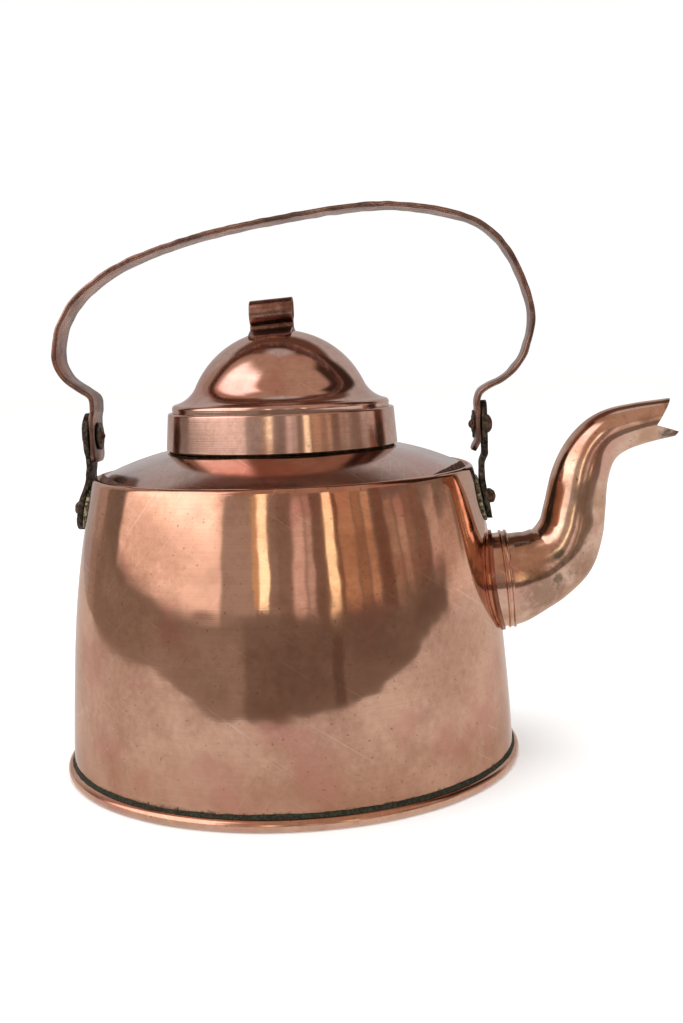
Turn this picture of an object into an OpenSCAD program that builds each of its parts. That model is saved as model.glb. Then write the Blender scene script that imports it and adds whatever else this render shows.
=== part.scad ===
// Copper kettle: a tapered seamed body, a swan-neck spout, a domed lid that fits
// over the neck, and a strap handle that swings on two riveted ears.
// Frame: +Z up, spout along +X, origin on the body axis at the underside of the base.

/* [Sheet] */
// Thickness of the copper sheet of the body and the spout
sheet = 1.2; // [0.8:0.1:1.6]
// Thickness of the copper sheet of the lid
lid_sheet = 1; // [0.7:0.1:1.4]

/* [Base] */
// Diameter across the rolled rim of the base
base_d = 207.4; // [172:0.2:250]
// Thickness of the rolled bead of the rim
rim_bead_d = 5.2; // [4.4:0.1:7]
// Distance that the rim stands out past the wall
rim_overhang = 2.6; // [2:0.1:3.4]
// Height of the fillet of old solder above the rim
solder_h = 3; // [2:0.1:5]

/* [Wall] */
// Height of the wall up to its rolled top edge
wall_h = 130.5; // [108:0.5:160]
// Diameter of the wall just under its rolled top edge
wall_top_d = 171.6; // [140:0.2:206]
// Part of the taper that is a straight lean, the rest is a curve near the top
wall_lean = 6.5; // [0:0.5:10]
// Outer radius of the rolled top edge
lip_r = 2.6; // [2.1:0.1:4]

/* [Shoulder and neck] */
// Rise of the shoulder from its seam to the neck
shoulder_rise = 11.2; // [6:0.1:20]
// Extra height of the shoulder halfway to the neck
shoulder_crown = 1.4; // [0:0.1:3]
// Height of the bead at the foot of the neck
neck_bead_h = 0.8; // [0.6:0.1:3]
// Distance that the neck bead stands in from the edge of the lid band
neck_bead_inset = 1.1; // [0.4:0.1:2]
// Height of the neck collar above its bead
collar_h = 12.4; // [6:0.2:13.5]

/* [Lid] */
// Diameter of the lid band at its top corner
band_top_d = 101.8; // [84:0.2:123]
// Extra diameter of the band at its lower edge
band_flare = 2.4; // [0:0.2:4]
// Height of the band
band_h = 16.2; // [14.5:0.2:24]
// Corner radius at the top of the band
band_corner_r = 1; // [0.8:0.1:2]
// Width of the ledge between the band's corner and the foot of the dome
lid_ledge = 2; // [1.2:0.1:4]
// Radius of the rolled foot of the dome
dome_foot_r = 1.9; // [1.6:0.1:3]
// Radius of the dome
dome_r = 41.8; // [34:0.2:50.4]
// Height of the top of the dome above the band
dome_rise = 35.4; // [30:0.2:45]
// Height of the bottom of the cove above the band
cove_rise = 3.3; // [2.6:0.1:5]
// Distance from the foot of the dome out to the axis of the cove
cove_reach = 1.5; // [0.5:0.1:3]
// Gap around the collar inside the band
lid_fit = 0.4; // [0.2:0.1:1]
// Height that the lid can be lifted under the resting handle
lid_lift = 28; // [10:1:28]

/* [Knob] */
// Length of the folded strip of the knob, along X
knob_w = 19.4; // [14:0.2:30]
// Thickness of the strip
knob_sheet = 1.3; // [0.8:0.1:2]
// Outer radius of the open loop
knob_loop_r = 5.5; // [3.5:0.1:7]
// Outer radius of the small fold below the loop
knob_fold_r = 2.7; // [1.8:0.1:4]
// Reach of each foot of the strip over the dome
knob_foot_reach = 15.5; // [8:0.5:20]
// Sideways place of the knob
knob_x = -2.5; // [-6:0.5:6]
// Tilt of the bent knob, in degrees
knob_tilt = 4; // [0:1:8]

/* [Spout] */
// Height of the spout's root above the underside
root_z = 79; // [66:0.5:90]
// Diameter of the spout at its root
root_d = 42.8; // [34:0.2:52]
// Diameter of the spout at its end
tip_d = 16.8; // [12:0.2:22]
// Distance from the wall to the middle of the spout's collar
collar_reach = 4.8; // [4:0.2:12]
// Upward tilt of the spout's root, in degrees
root_tilt = 5; // [0:1:12]
// Length of the ring over the joint of the spout
ring_w = 3.6; // [3:0.2:8]
// Height of the two ridges of the ring
ring_h = 1.1; // [0.8:0.1:3]
// Distance from the end of the spout back to the notch of its mouth
notch_back = 13; // [6:0.5:18]
// Distance of the notch below the axis of the spout
notch_drop = 2; // [0:0.1:4]
// Slope of the cut of the upper lip, in degrees
upper_cut = 58; // [40:1:85]
// Slope of the cut of the lower lip, in degrees
lower_cut = 16; // [0:1:35]
// Distance that the lower lip ends before the upper lip
lower_lip_back = 2.5; // [0:0.1:6]

/* [Ears] */
// Thickness of the ears
ear_t = 2.5; // [2:0.1:4]
// Height of the hinge pins above the rolled top edge of the wall
pin_above_lip = 17.4; // [16:0.2:26]
// Distance from the top of the wall out to the inner face of the left ear
ear_out_left = 0.9; // [0.5:0.1:5]
// Distance from the top of the wall out to the inner face of the right ear
ear_out_right = 3.9; // [0.5:0.1:5]
// Radius of the eye of each ear
eye_r = 10.6; // [9.8:0.1:12]
// Width of each ear at its waist
waist_w = 12; // [9:0.5:18]
// Radius of the leaf that is riveted to the wall
leaf_r = 9.8; // [8:0.2:12]
// Distance of the lower rivet below the top of the wall
leaf_drop = 13.6; // [12.6:0.2:20]
// Thickness of the patch between the left leaf and the wall
patch_t_left = 2.2; // [0.8:0.1:2.8]
// Thickness of the patch between the right leaf and the wall
patch_t_right = 0.8; // [0.8:0.1:2.8]
// Half the width of the left patch
patch_half_w_left = 9.4; // [7:0.2:20]
// Half the width of the right patch
patch_half_w_right = 14; // [7:0.2:20]
// Half the height of each patch
patch_half_h = 9.4; // [7:0.2:12]
// Gap between a leaf and its patch
leaf_gap = 0.1; // [0.1:0.1:0.6]
// Distance from the top of the wall out to the inner face of the left ear's waist
waist_out_left = 1.5; // [0.6:0.1:3]
// Distance from the top of the wall out to the inner face of the right ear's waist
waist_out_right = 2.6; // [0.6:0.1:3]

/* [Rivets and hinge pins] */
// Diameter of the lower rivets
rivet_d = 5; // [3:0.5:8]
// Diameter of the heads of the lower rivets
rivet_head_d = 7; // [5:0.5:12]
// Height of the heads of the lower rivets
rivet_head_h = 3.2; // [2:0.1:5]
// Thickness of the roves that the lower rivets are clinched over
rove_t = 1.4; // [0.8:0.1:2.5]
// Diameter of the hinge pins
pin_d = 6; // [4:0.5:9]
// Diameter of the heads of the hinge pins
pin_head_d = 8.4; // [7:0.2:13]
// Height of the heads of the hinge pins
pin_head_h = 2.8; // [1.4:0.1:4]
// Height of the flat heads that the hinge pins have inside
pin_flat_h = 0.6; // [0.4:0.1:2]
// Diameter of the washers inside the handle
washer_d = 12.6; // [10:0.2:18]
// Thickness of the washers
washer_t = 1; // [0.8:0.1:3]
// Radial running clearance of the handle on its pins
pin_fit = 0.08; // [0.05:0.01:0.1]
// Side gap between the handle, an ear and a washer
side_gap = 0.3; // [0.2:0.05:0.8]

/* [Handle] */
// Width of the strap
strap_w = 19.8; // [16:0.2:20]
// Thickness of the strap
strap_t = 2.3; // [1.8:0.1:3]
// Height of the middle of the strap above the hinge pins
handle_rise = 97.5; // [78:0.5:120]
// Length of the strap below the hinge pins
strap_tail = 11.6; // [9:0.2:11.8]
// Inward bend of the left end of the strap
tail_bend_left = 0; // [0:0.1:2]
// Inward bend of the right end of the strap
tail_bend_right = 2.2; // [0:0.1:3]
// Radius of the corners at the ends of the strap
strap_corner_r = 4; // [2:0.5:8]

/* [Seam solder] */
// Height of the solder heaped on the shoulder seam in front of each ear
heap_h = 2.6; // [1:0.1:4]
// Width of a heap
heap_w = 2; // [1:0.1:3]
// Half the length of a heap
heap_half_l = 24; // [10:1:30]
// Angle from each ear round to the middle of its heap, in degrees
heap_turn = 26; // [16:1:40]

/* [Hidden] */

round_fn = 96;
big = 400;

// Base and wall
rim_r = rim_bead_d / 2;
rim_c = base_d / 2 - rim_r;
wire_r = rim_r - sheet;
wall_bottom_r = base_d / 2 - rim_overhang;
wall_top_r = wall_top_d / 2;
wall_curve = wall_bottom_r - wall_top_r - wall_lean;
foot_top = rim_bead_d + 0.8;
solder_top = rim_bead_d + solder_h;
wall_steps = 24;
lip_lean = atan((wall_lean + 3 * wall_curve) / wall_h);
lip_c = [wall_top_r - lip_r * cos(lip_lean), wall_h - lip_r * sin(lip_lean)];
lip_top = lip_c[1] + lip_r;

// Shoulder and neck
band_top_r = band_top_d / 2;
band_bottom_r = band_top_r + band_flare / 2;
collar_r = band_top_r - lid_sheet - lid_fit;
seam_r = lip_c[0];
seam_z = lip_top - sheet;
neck_z = seam_z + shoulder_rise;
neck_bead_r = band_bottom_r - neck_bead_inset;
seat_z = neck_z + neck_bead_h;

// Lid
band_top_z = seat_z + band_h;
foot_r = band_top_r - lid_ledge;
dome_top_z = band_top_z + dome_rise;
dome_cz = dome_top_z - dome_r;
cove_x = foot_r + cove_reach;
cove_h = band_top_z + cove_rise - dome_cz;
cove_r = (cove_x * cove_x + cove_h * cove_h - dome_r * dome_r) / (2 * (dome_r - cove_h));
cove_cz = dome_cz + cove_h + cove_r;
roll_x = foot_r - dome_foot_r;
roll_cz = cove_cz - sqrt(pow(cove_r + dome_foot_r, 2) - pow(cove_x - roll_x, 2));
ledge_in_r = foot_r - 4;

// Knob
knob_base_z = dome_top_z;
fold_cz = knob_base_z + knob_fold_r - knob_sheet;
loop_cz = fold_cz + knob_fold_r + knob_loop_r - knob_sheet;

// Spout, measured from the middle of its ring
root_r = root_d / 2;
tip_r = tip_d / 2;
ring_c = [wall_r(root_z) + collar_reach, root_z];
// Each station is [along, up, share of the taper that is left]
SPOUT_ROUTE = [[0, 0, 1], [9, 2.6, 0.84], [17, 6.2, 0.71], [24, 12, 0.61], [28.6, 21, 0.5],
    [30.5, 30.6, 0.42], [33, 44.5, 0.34], [36.8, 54.8, 0.26], [42.5, 61.8, 0.18], [50, 66.1, 0.13],
    [60, 68.7, 0.07], [70, 70.4, 0.03], [79, 71.5, 0]];
spout_lead = 8;
route_steps = 3;
spout_sides = 28;
spout_end = SPOUT_ROUTE[len(SPOUT_ROUTE) - 1];

// Ears, rivets and hinge pins; side is -1 for left and 1 for right
pin_z = lip_top + pin_above_lip;
leaf_z = wall_h - leaf_drop;
leaf_top = leaf_z + leaf_r * 0.8;
leaf_low = leaf_z - leaf_r - 1;
strap_out = side_gap + strap_t / 2;
ear_arc_a = 35;
rove_r = rivet_d;
rove_sag = rove_r * rove_r / (2 * wall_r(leaf_z));

// Handle; each point is [out past the strap's end, percentage of the rise]
LEFT_CURL = [[0, 8], [-0.9, 12.5], [-0.3, 18], [4, 21.5], [10.2, 26.2], [14.2, 33], [14.8, 41],
    [11.5, 52.5], [2.2, 65], [-18.3, 78.4], [-54.3, 89.7]];
RIGHT_CURL = [[-75, 97.2], [-40, 100], [-10.4, 95.4], [6.4, 87.3], [17.2, 73],
    [24.6, 50.5], [21.8, 33.5], [16.2, 24.5], [10.6, 19.8], [5.2, 17.4], [1.2, 14.6], [0, 10.4],
    [0, 7.2]];
strap_steps = 5;
tail_bend_z = washer_d / 2 + 0.4;
tail_reach = norm([strap_w / 2 - strap_corner_r, strap_tail - strap_corner_r]) + strap_corner_r;

// Radius of the wall's outside at height z
function wall_r(z) = wall_bottom_r - wall_lean * z / wall_h - wall_curve * pow(z / wall_h, 3);

function patch_t(side) = side < 0 ? patch_t_left : patch_t_right;

// The two ends of the inner face of a leaf, as [distance from the body axis, height]
function leaf_line(side) = [[wall_r(leaf_top) + patch_t(side) + 2 * leaf_gap, leaf_top],
    [wall_r(leaf_low + 1) + patch_t(side) + leaf_gap, leaf_low]];

// Lean of a leaf from upright
function leaf_slope(side) = let (l = leaf_line(side)) atan((l[1][0] - l[0][0]) / (leaf_top - leaf_low));

// Distance from the wall to the inner face of a leaf at its rivet
function leaf_off(side) =
    leaf_line(side)[1][0] - (leaf_z - leaf_low) * tan(leaf_slope(side)) - wall_r(leaf_z);

// Distance of the inner face of the eye of an ear from the body axis
function ear_in(side) = wall_top_r + (side < 0 ? ear_out_left : ear_out_right);

// Distance of the inner face of the strap at a hinge from the body axis
function strap_in(side) = ear_in(side) - 2 * side_gap - strap_t;

// Points of an arc about [cx, cy], from angle a to angle b
function arc(cx, cy, r, a, b, n) =
    [for (i = [0:n]) [cx + r * cos(a + (b - a) * i / n), cy + r * sin(a + (b - a) * i / n)]];

function reversed(list) = [for (i = [len(list) - 1:-1:0]) list[i]];

// Height of the top of the shoulder at radius r
function shoulder_z(r) =
    let (u = (seam_r - r) / (seam_r - collar_r))
    seam_z + (neck_z - seam_z) * u + shoulder_crown * 4 * u * (1 - u);

// A point on the smooth curve through p1 and p2, at t from 0 to 1
function smooth(p0, p1, p2, p3, t) =
    0.5 * (2 * p1 + (p2 - p0) * t + (2 * p0 - 5 * p1 + 4 * p2 - p3) * t * t
    + (3 * p1 - p0 - 3 * p2 + p3) * t * t * t);

// The smooth curve through the inner points of a list, n steps to a span
function curve(p, n) = concat(
    [for (i = [1:len(p) - 3]) for (k = [0:n - 1]) smooth(p[i - 1], p[i], p[i + 1], p[i + 2], k / n)],
    [p[len(p) - 2]]);

// Unit direction of a polyline at its point i
function heading(p, i) =
    let (a = p[max(i - 1, 0)], b = p[min(i + 1, len(p) - 1)], d = [b[0] - a[0], b[1] - a[1]])
    d / norm(d);

// A polyline moved sideways by d, to its left
function beside(p, d) = [for (i = [0:len(p) - 1]) let (h = heading(p, i)) p[i] + d * [-h[1], h[0]]];

module revolve() {
    rotate_extrude($fn = round_fn) children();
}

// An outline drawn in X and Z, given a width along Y
module along_y(width) {
    translate([0, width / 2, 0]) rotate([90, 0, 0]) linear_extrude(height = width) children();
}

// An outline drawn in Y and Z, given a length along X from x = 0
module along_x(length) {
    rotate([90, 0, 90]) linear_extrude(height = length) children();
}

module rod_x(r, x0, x1) {
    translate([x0, 0, 0]) rotate([0, 90, 0]) cylinder(r = r, h = x1 - x0, $fn = 64);
}

// A domed head with its flat base at z = 0
module domed_head(d, h) {
    base_h = h / 3;
    cap_h = h - base_h;
    cap_r = (d * d / 4 + cap_h * cap_h) / (2 * cap_h);
    cylinder(d = d, h = base_h, $fn = 48);
    translate([0, 0, base_h]) intersection() {
        translate([0, 0, cap_h - cap_r]) sphere(r = cap_r, $fn = 64);
        cylinder(d = d, h = cap_h, $fn = 48);
    }
}

// Half section of the wall's outside, closed back to the axis, grown by extra
module wall_solid(extra) {
    revolve() polygon(concat([[0, foot_top]],
        [for (i = [0:wall_steps]) let (z = foot_top + (wall_h - foot_top) * i / wall_steps)
            [wall_r(z) + extra, z]],
        [[0, wall_h]]));
}

wall_outside = concat(
    [[base_d / 2 - rim_bead_d - 0.1, sheet]],
    arc(rim_c, rim_r, rim_r + 0.1, 180, 124, 5),
    [for (i = [0:wall_steps]) let (z = foot_top + (wall_h - foot_top) * i / wall_steps) [wall_r(z), z]],
    arc(lip_c[0], lip_c[1], lip_r, lip_lean + 12, 90, 6));
wall_inside = concat(
    [[base_d / 2 - rim_bead_d - 0.1 - sheet, sheet]],
    arc(rim_c, rim_r, rim_r + 0.1 + sheet, 180, 132, 5),
    [for (i = [0:wall_steps]) let (z = foot_top + 0.6 + (wall_h - foot_top - 0.6) * i / wall_steps)
        [wall_r(z) - sheet, z]],
    arc(lip_c[0], lip_c[1], lip_r - sheet, lip_lean + 12, 90, 6));

module wall_section() {
    polygon(concat(wall_outside, reversed(wall_inside)));
}

// Frame of the spout's root: x along the root, origin at the middle of the ring
module at_root() {
    translate([ring_c[0], 0, ring_c[1]]) rotate([0, -root_tilt, 0]) children();
}

module on_side(side) {
    if (side < 0) mirror([1, 0, 0]) children();
    else children();
}

// Frame of a lower rivet: x out of the leaf's inner face
module at_rivet(side) {
    translate([wall_r(leaf_z) + leaf_off(side), 0, leaf_z]) rotate([0, -leaf_slope(side), 0]) children();
}

module rivet_bore(side) {
    at_rivet(side) rod_x(rivet_d / 2, -20, 20);
}

module base_plate() {
    color("peru") revolve() difference() {
        union() {
            square([rim_c, sheet]);
            translate([rim_c, rim_r]) circle(r = rim_r, $fn = 48);
        }
        translate([rim_c, rim_r]) circle(r = wire_r, $fn = 48);
    }
}

module rim_wire() {
    color("gray") revolve() translate([rim_c, rim_r]) circle(r = wire_r, $fn = 48);
}

// The green line of old solder in the groove between the rim and the wall
module base_solder() {
    color("darkolivegreen") revolve() difference() {
        polygon([[rim_c - 0.2, rim_bead_d], [wall_r(foot_top) + 0.3, foot_top + 0.6],
            [wall_r(solder_top), solder_top], [wall_r(foot_top) - 0.5, foot_top - 0.4],
            [rim_c - 1.2, rim_bead_d - 0.6]]);
        translate([rim_c, rim_r]) circle(r = rim_r, $fn = 48);
        wall_section();
    }
}

module body_wall() {
    color("peru") difference() {
        revolve() wall_section();
        at_root() rod_x(root_r, -40, 10);
        for (side = [-1, 1]) on_side(side) rivet_bore(side);
    }
}

module shoulder_plate() {
    steps = 14;
    out_r = seam_r + lip_r - sheet - 0.3;
    top = [for (i = [0:steps]) let (r = collar_r + (seam_r - collar_r) * i / steps) [r, shoulder_z(r)]];
    color("peru") revolve() polygon(concat(top, [[out_r, seam_z - 0.6], [out_r, seam_z - 0.6 - sheet]],
        reversed([for (p = top) p - [0, sheet]])));
}

module neck_collar() {
    flange = 6;
    foot = [for (i = [0:3]) let (r = collar_r + flange * i / 3) [r, shoulder_z(r) - sheet]];
    color("peru") revolve() polygon(concat([[collar_r - sheet, seat_z + collar_h],
        [collar_r, seat_z + collar_h]], foot, reversed([for (p = foot) p - [0, sheet]]),
        [[collar_r - sheet, shoulder_z(collar_r) - 2 * sheet]]));
}

module neck_bead() {
    round_r = neck_bead_h / 2;
    color("darkolivegreen") revolve() polygon(concat(
        [[collar_r, seat_z], [neck_bead_r - round_r, seat_z]],
        arc(neck_bead_r - round_r, seat_z - round_r, round_r, 75, -90, 8),
        [[neck_bead_r - round_r, shoulder_z(neck_bead_r - round_r)], [collar_r, neck_z]]));
}

module spout_stub() {
    color("peru") difference() {
        at_root() rod_x(root_r, -20, 0);
        at_root() rod_x(root_r - sheet, -21, 1);
        wall_solid(-sheet - 2);
    }
}

module stub_solder() {
    color("sienna") difference() {
        intersection() {
            at_root() rod_x(root_r + 1.6, -20, -ring_w / 2);
            wall_solid(1.3);
        }
        at_root() rod_x(root_r, -30, 1);
        wall_solid(0);
    }
}

// The ring over the joint of the spout, with a ridge at each side
module spout_ring() {
    half = ring_w / 2;
    color("peru") at_root() rotate([0, 90, 0]) revolve() polygon([[root_r, -half],
        [root_r + ring_h * 0.7, -half], [root_r + ring_h, -half * 0.7], [root_r + ring_h * 0.7, -half * 0.35],
        [root_r + ring_h * 0.4, -half * 0.15], [root_r + ring_h * 0.4, half * 0.15],
        [root_r + ring_h * 0.7, half * 0.35], [root_r + ring_h, half * 0.7],
        [root_r + ring_h * 0.7, half], [root_r, half]]);
}

// A tube swept along the route, as one closed shell
module spout_tube() {
    route = curve(concat([[-spout_lead * cos(root_tilt), -spout_lead * sin(root_tilt), 1]], SPOUT_ROUTE,
        [spout_end + [9, 1.1, 0]]), route_steps);
    last = len(route) - 1;
    n = spout_sides;
    function side_dir(i) = i == 0 ? [cos(root_tilt), sin(root_tilt)] : heading(route, i);
    function ring_pts(i, wall) =
        let (h = side_dir(i), r = tip_r + (root_r - tip_r) * route[i][2] - wall)
        [for (k = [0:n - 1]) let (a = 360 * k / n)
            [ring_c[0] + route[i][0] - h[1] * r * cos(a), r * sin(a),
            ring_c[1] + route[i][1] + h[0] * r * cos(a)]];
    outer = [for (i = [0:last]) each ring_pts(i, 0)];
    inner = [for (i = [0:last]) each ring_pts(i, sheet)];
    m = len(outer);
    faces = concat(
        [for (i = [0:last - 1]) for (k = [0:n - 1]) let (a = i * n + k, b = i * n + (k + 1) % n)
            each [[a, a + n, b + n], [a, b + n, b]]],
        [for (i = [0:last - 1]) for (k = [0:n - 1]) let (a = m + i * n + k, b = m + i * n + (k + 1) % n)
            each [[a, b + n, a + n], [a, b, b + n]]],
        [for (k = [0:n - 1]) let (a = k, b = (k + 1) % n) each [[a, b, m + b], [a, m + b, m + a]]],
        [for (k = [0:n - 1]) let (a = last * n + k, b = last * n + (k + 1) % n)
            each [[a, m + b, b], [a, m + a, m + b]]]);
    notch = [ring_c[0] + spout_end[0] - notch_back, ring_c[1] + spout_end[1] - notch_back / 8 - notch_drop];
    reach = 40;
    color("peru") difference() {
        polyhedron(points = concat(outer, inner), faces = faces);
        along_y(4 * tip_d) {
            polygon([notch, notch + reach * [cos(upper_cut), sin(upper_cut)],
                notch + reach * [1.5, 0], notch + reach * [cos(lower_cut), -sin(lower_cut)]]);
            translate([ring_c[0] + spout_end[0] - lower_lip_back, notch[1] - reach]) square(reach);
        }
    }
}

// Side section of an ear: the eye stands upright and the leaf follows the wall
module ear_section(side) {
    face = ear_in(side);
    waist = wall_top_r + (side < 0 ? waist_out_left : waist_out_right);
    path = [[face, pin_z + eye_r + 1], [face, pin_z - tail_reach - 0.1], [waist, lip_top + 1.2],
        [waist, wall_h]];
    line = concat(path, leaf_line(side));
    polygon(concat(line, reversed([for (p = line) p + [ear_t, 0]])));
}

// Front outline of an ear: a round eye, a waist and a round leaf
module ear_outline() {
    polygon(concat([[waist_w / 2, lip_top]], arc(0, pin_z, eye_r, -ear_arc_a, 180 + ear_arc_a, 36),
        [[-waist_w / 2, lip_top]], arc(0, leaf_z, leaf_r, 180 - ear_arc_a, 360 + ear_arc_a, 36)));
}

module ear(side) {
    color("dimgray") on_side(side) difference() {
        intersection() {
            along_y(4 * eye_r) ear_section(side);
            along_x(big) ear_outline();
        }
        translate([0, 0, pin_z]) rod_x(pin_d / 2, 0, big);
        rivet_bore(side);
    }
}

// The patch between a leaf and the wall, bent to the wall and flat under the leaf
module patch(side) {
    half_w = side < 0 ? patch_half_w_left : patch_half_w_right;
    color("darkkhaki") on_side(side) difference() {
        intersection() {
            wall_solid(patch_t(side));
            along_x(big) intersection() {
                translate([0, leaf_z]) circle(r = half_w, $fn = 64);
                translate([-half_w, leaf_z - patch_half_h]) square([2 * half_w, 2 * patch_half_h]);
            }
        }
        wall_solid(0);
        along_y(4 * eye_r) ear_section(side);
        rivet_bore(side);
    }
}

module lower_rivet(side) {
    head_x = ear_t * cos(leaf_slope(side));
    tail = 0.6;
    color("saddlebrown") on_side(side) at_rivet(side) {
        rod_x(rivet_d / 2, rove_face(side) - rove_t - tail, head_x + rivet_head_h / 6);
        translate([head_x, 0, 0]) rotate([0, 90, 0]) domed_head(rivet_head_d, rivet_head_h);
    }
}

// Place of the wall's inside in the frame of a lower rivet
function rove_face(side) = -leaf_off(side) - sheet - rove_sag;

// The rove that the rivet is clinched over, inside the wall
module rove(side) {
    color("saddlebrown") on_side(side) difference() {
        at_rivet(side) rod_x(rove_r, rove_face(side) - rove_t, rove_face(side));
        rivet_bore(side);
    }
}

module hinge_pin(side) {
    inner_end = strap_in(side) - washer_t;
    color("saddlebrown") on_side(side) translate([0, 0, pin_z]) {
        rod_x(pin_d / 2, inner_end, ear_in(side) + ear_t);
        translate([ear_in(side) + ear_t, 0, 0]) rotate([0, 90, 0]) domed_head(pin_head_d, pin_head_h);
        translate([inner_end, 0, 0]) rotate([0, -90, 0]) domed_head(pin_d + 2, pin_flat_h);
    }
}

module washer(side) {
    color("olive") on_side(side) translate([0, 0, pin_z]) difference() {
        rod_x(washer_d / 2, strap_in(side) - washer_t, strap_in(side));
        rod_x(pin_d / 2, 0, big);
    }
}

// Solder heaped on the front of the shoulder seam, in the shape of a lens
module seam_solder(side) {
    arch_r = (heap_half_l * heap_half_l + heap_h * heap_h) / (2 * heap_h);
    color("saddlebrown") on_side(side) intersection() {
        revolve() polygon([[seam_r - heap_w, shoulder_z(seam_r - heap_w)], [seam_r, seam_z],
            [seam_r, lip_top + heap_h + 1], [seam_r - heap_w * 0.6, lip_top + heap_h + 1]]);
        rotate([0, 0, -heap_turn]) translate([seam_r, 0, lip_top + heap_h - arch_r])
            rotate([0, 90, 0]) cylinder(r = arch_r, h = 4 * heap_w, center = true, $fn = 360);
        translate([0, -big, 0]) cube([big, big - waist_w / 2 - 1, big]);
    }
}

module handle_strap() {
    left = -(ear_in(-1) - strap_out);
    right = ear_in(1) - strap_out;
    rise = handle_rise / 100;
    knots = concat(
        [[left + 2 * tail_bend_left, -20], [left + tail_bend_left, -strap_tail], [left, -tail_bend_z],
        [left, 0]],
        [for (p = LEFT_CURL) [left - p[0], p[1] * rise]],
        [for (p = RIGHT_CURL) [right + p[0], p[1] * rise]],
        [[right, 0], [right, -tail_bend_z], [right - tail_bend_right, -strap_tail],
        [right - 2 * tail_bend_right, -20]]);
    path = curve(knots, strap_steps);
    end = strap_w / 2 - strap_corner_r;
    color("rosybrown") translate([0, 0, pin_z]) difference() {
        intersection() {
            along_y(strap_w) polygon(concat(beside(path, strap_t / 2), reversed(beside(path, -strap_t / 2))));
            translate([-big, 0, 0]) along_x(2 * big) union() {
                translate([-strap_w / 2, strap_corner_r - strap_tail]) square([strap_w, big]);
                translate([-end, -strap_tail]) square([2 * end, big]);
                for (y = [-end, end])
                    translate([y, strap_corner_r - strap_tail]) circle(r = strap_corner_r, $fn = 48);
            }
        }
        rod_x(pin_d / 2 + pin_fit, left - 5, left + 5);
        rod_x(pin_d / 2 + pin_fit, right - 5, right + 5);
    }
}

module lid_band() {
    c = band_corner_r;
    color("peru") revolve() polygon(concat(
        [[band_bottom_r, seat_z]], arc(band_top_r - c, band_top_z - c, c, 0, 90, 5),
        [[ledge_in_r, band_top_z], [ledge_in_r, band_top_z - lid_sheet],
        [band_top_r - lid_sheet, band_top_z - lid_sheet], [band_bottom_r - lid_sheet, seat_z]]));
}

module lid_dome() {
    join_a = asin((cove_cz - dome_cz) / (dome_r + cove_r));
    roll_a = atan2(cove_cz - roll_cz, cove_x - roll_x);
    function skin(t) = concat(
        arc(0, dome_cz, dome_r - t, 90, join_a, 20),
        arc(cove_x, cove_cz, cove_r + t, 180 + join_a, 180 + roll_a, 8),
        arc(roll_x, roll_cz, dome_foot_r - t, roll_a, 0, 6),
        [[foot_r - t, band_top_z]]);
    color("peru") revolve() polygon(concat(skin(0), reversed(skin(lid_sheet))));
}

// A strip folded into an open loop over a small fold, with two feet on the dome
module lid_knob() {
    color("sienna") translate([knob_x, 0, 0]) difference() {
        union() {
            translate([0, 0, knob_base_z]) rotate([0, -knob_tilt, 0])
                translate([-knob_w / 2, 0, -knob_base_z]) along_x(knob_w) difference() {
                    union() {
                        translate([0, loop_cz]) circle(r = knob_loop_r, $fn = 48);
                        translate([0, fold_cz]) circle(r = knob_fold_r, $fn = 48);
                        translate([-knob_sheet, knob_base_z - 3]) square([2 * knob_sheet, 4]);
                    }
                    translate([0, loop_cz]) circle(r = knob_loop_r - knob_sheet, $fn = 48);
                    translate([0, fold_cz]) circle(r = knob_fold_r - knob_sheet, $fn = 48);
                }
            translate([-knob_x, 0, dome_cz]) intersection() {
                sphere(r = dome_r + knob_sheet, $fn = round_fn);
                translate([knob_x - knob_w / 2, -knob_foot_reach, 0]) cube([knob_w, 2 * knob_foot_reach, big]);
            }
        }
        translate([-knob_x, 0, dome_cz]) sphere(r = dome_r, $fn = round_fn);
    }
}

base_plate();
rim_wire();
base_solder();
body_wall();
shoulder_plate();
neck_collar();
neck_bead();
spout_stub();
stub_solder();
spout_ring();
spout_tube();
ear(-1);  // ear_left
ear(1);  // ear_right
patch(-1);  // patch_left
patch(1);  // patch_right
lower_rivet(-1);  // lower_rivet_left
lower_rivet(1);  // lower_rivet_right
rove(-1);  // rove_left
rove(1);  // rove_right
hinge_pin(-1);  // hinge_pin_left
hinge_pin(1);  // hinge_pin_right
washer(-1);  // washer_left
washer(1);  // washer_right
seam_solder(-1);  // seam_solder_left
seam_solder(1);  // seam_solder_right
handle_strap();
lid_band();
lid_dome();
lid_knob();
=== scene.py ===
"""A worn copper kettle: tapered body, swan-neck spout, domed lid and a strap handle on riveted ears."""

import logging
import math
from collections.abc import Sequence
from dataclasses import dataclass
from enum import Enum

import bmesh
import bpy
from mathutils import Matrix, Vector, noise

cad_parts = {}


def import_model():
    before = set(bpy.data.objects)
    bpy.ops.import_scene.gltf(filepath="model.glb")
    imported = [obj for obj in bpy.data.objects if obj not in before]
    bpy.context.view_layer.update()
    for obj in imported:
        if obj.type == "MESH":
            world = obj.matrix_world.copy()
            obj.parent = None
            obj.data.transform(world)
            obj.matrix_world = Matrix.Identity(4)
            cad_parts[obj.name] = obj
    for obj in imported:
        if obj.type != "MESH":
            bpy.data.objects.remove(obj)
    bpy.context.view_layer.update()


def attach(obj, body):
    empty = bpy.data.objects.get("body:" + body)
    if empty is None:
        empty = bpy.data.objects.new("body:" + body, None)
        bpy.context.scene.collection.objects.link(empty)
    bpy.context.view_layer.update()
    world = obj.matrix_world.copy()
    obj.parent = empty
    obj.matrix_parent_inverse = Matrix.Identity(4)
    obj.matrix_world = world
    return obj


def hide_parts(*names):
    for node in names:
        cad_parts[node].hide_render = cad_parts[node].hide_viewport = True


MM = 0.001
LOG = logging.getLogger("kettle")
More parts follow.
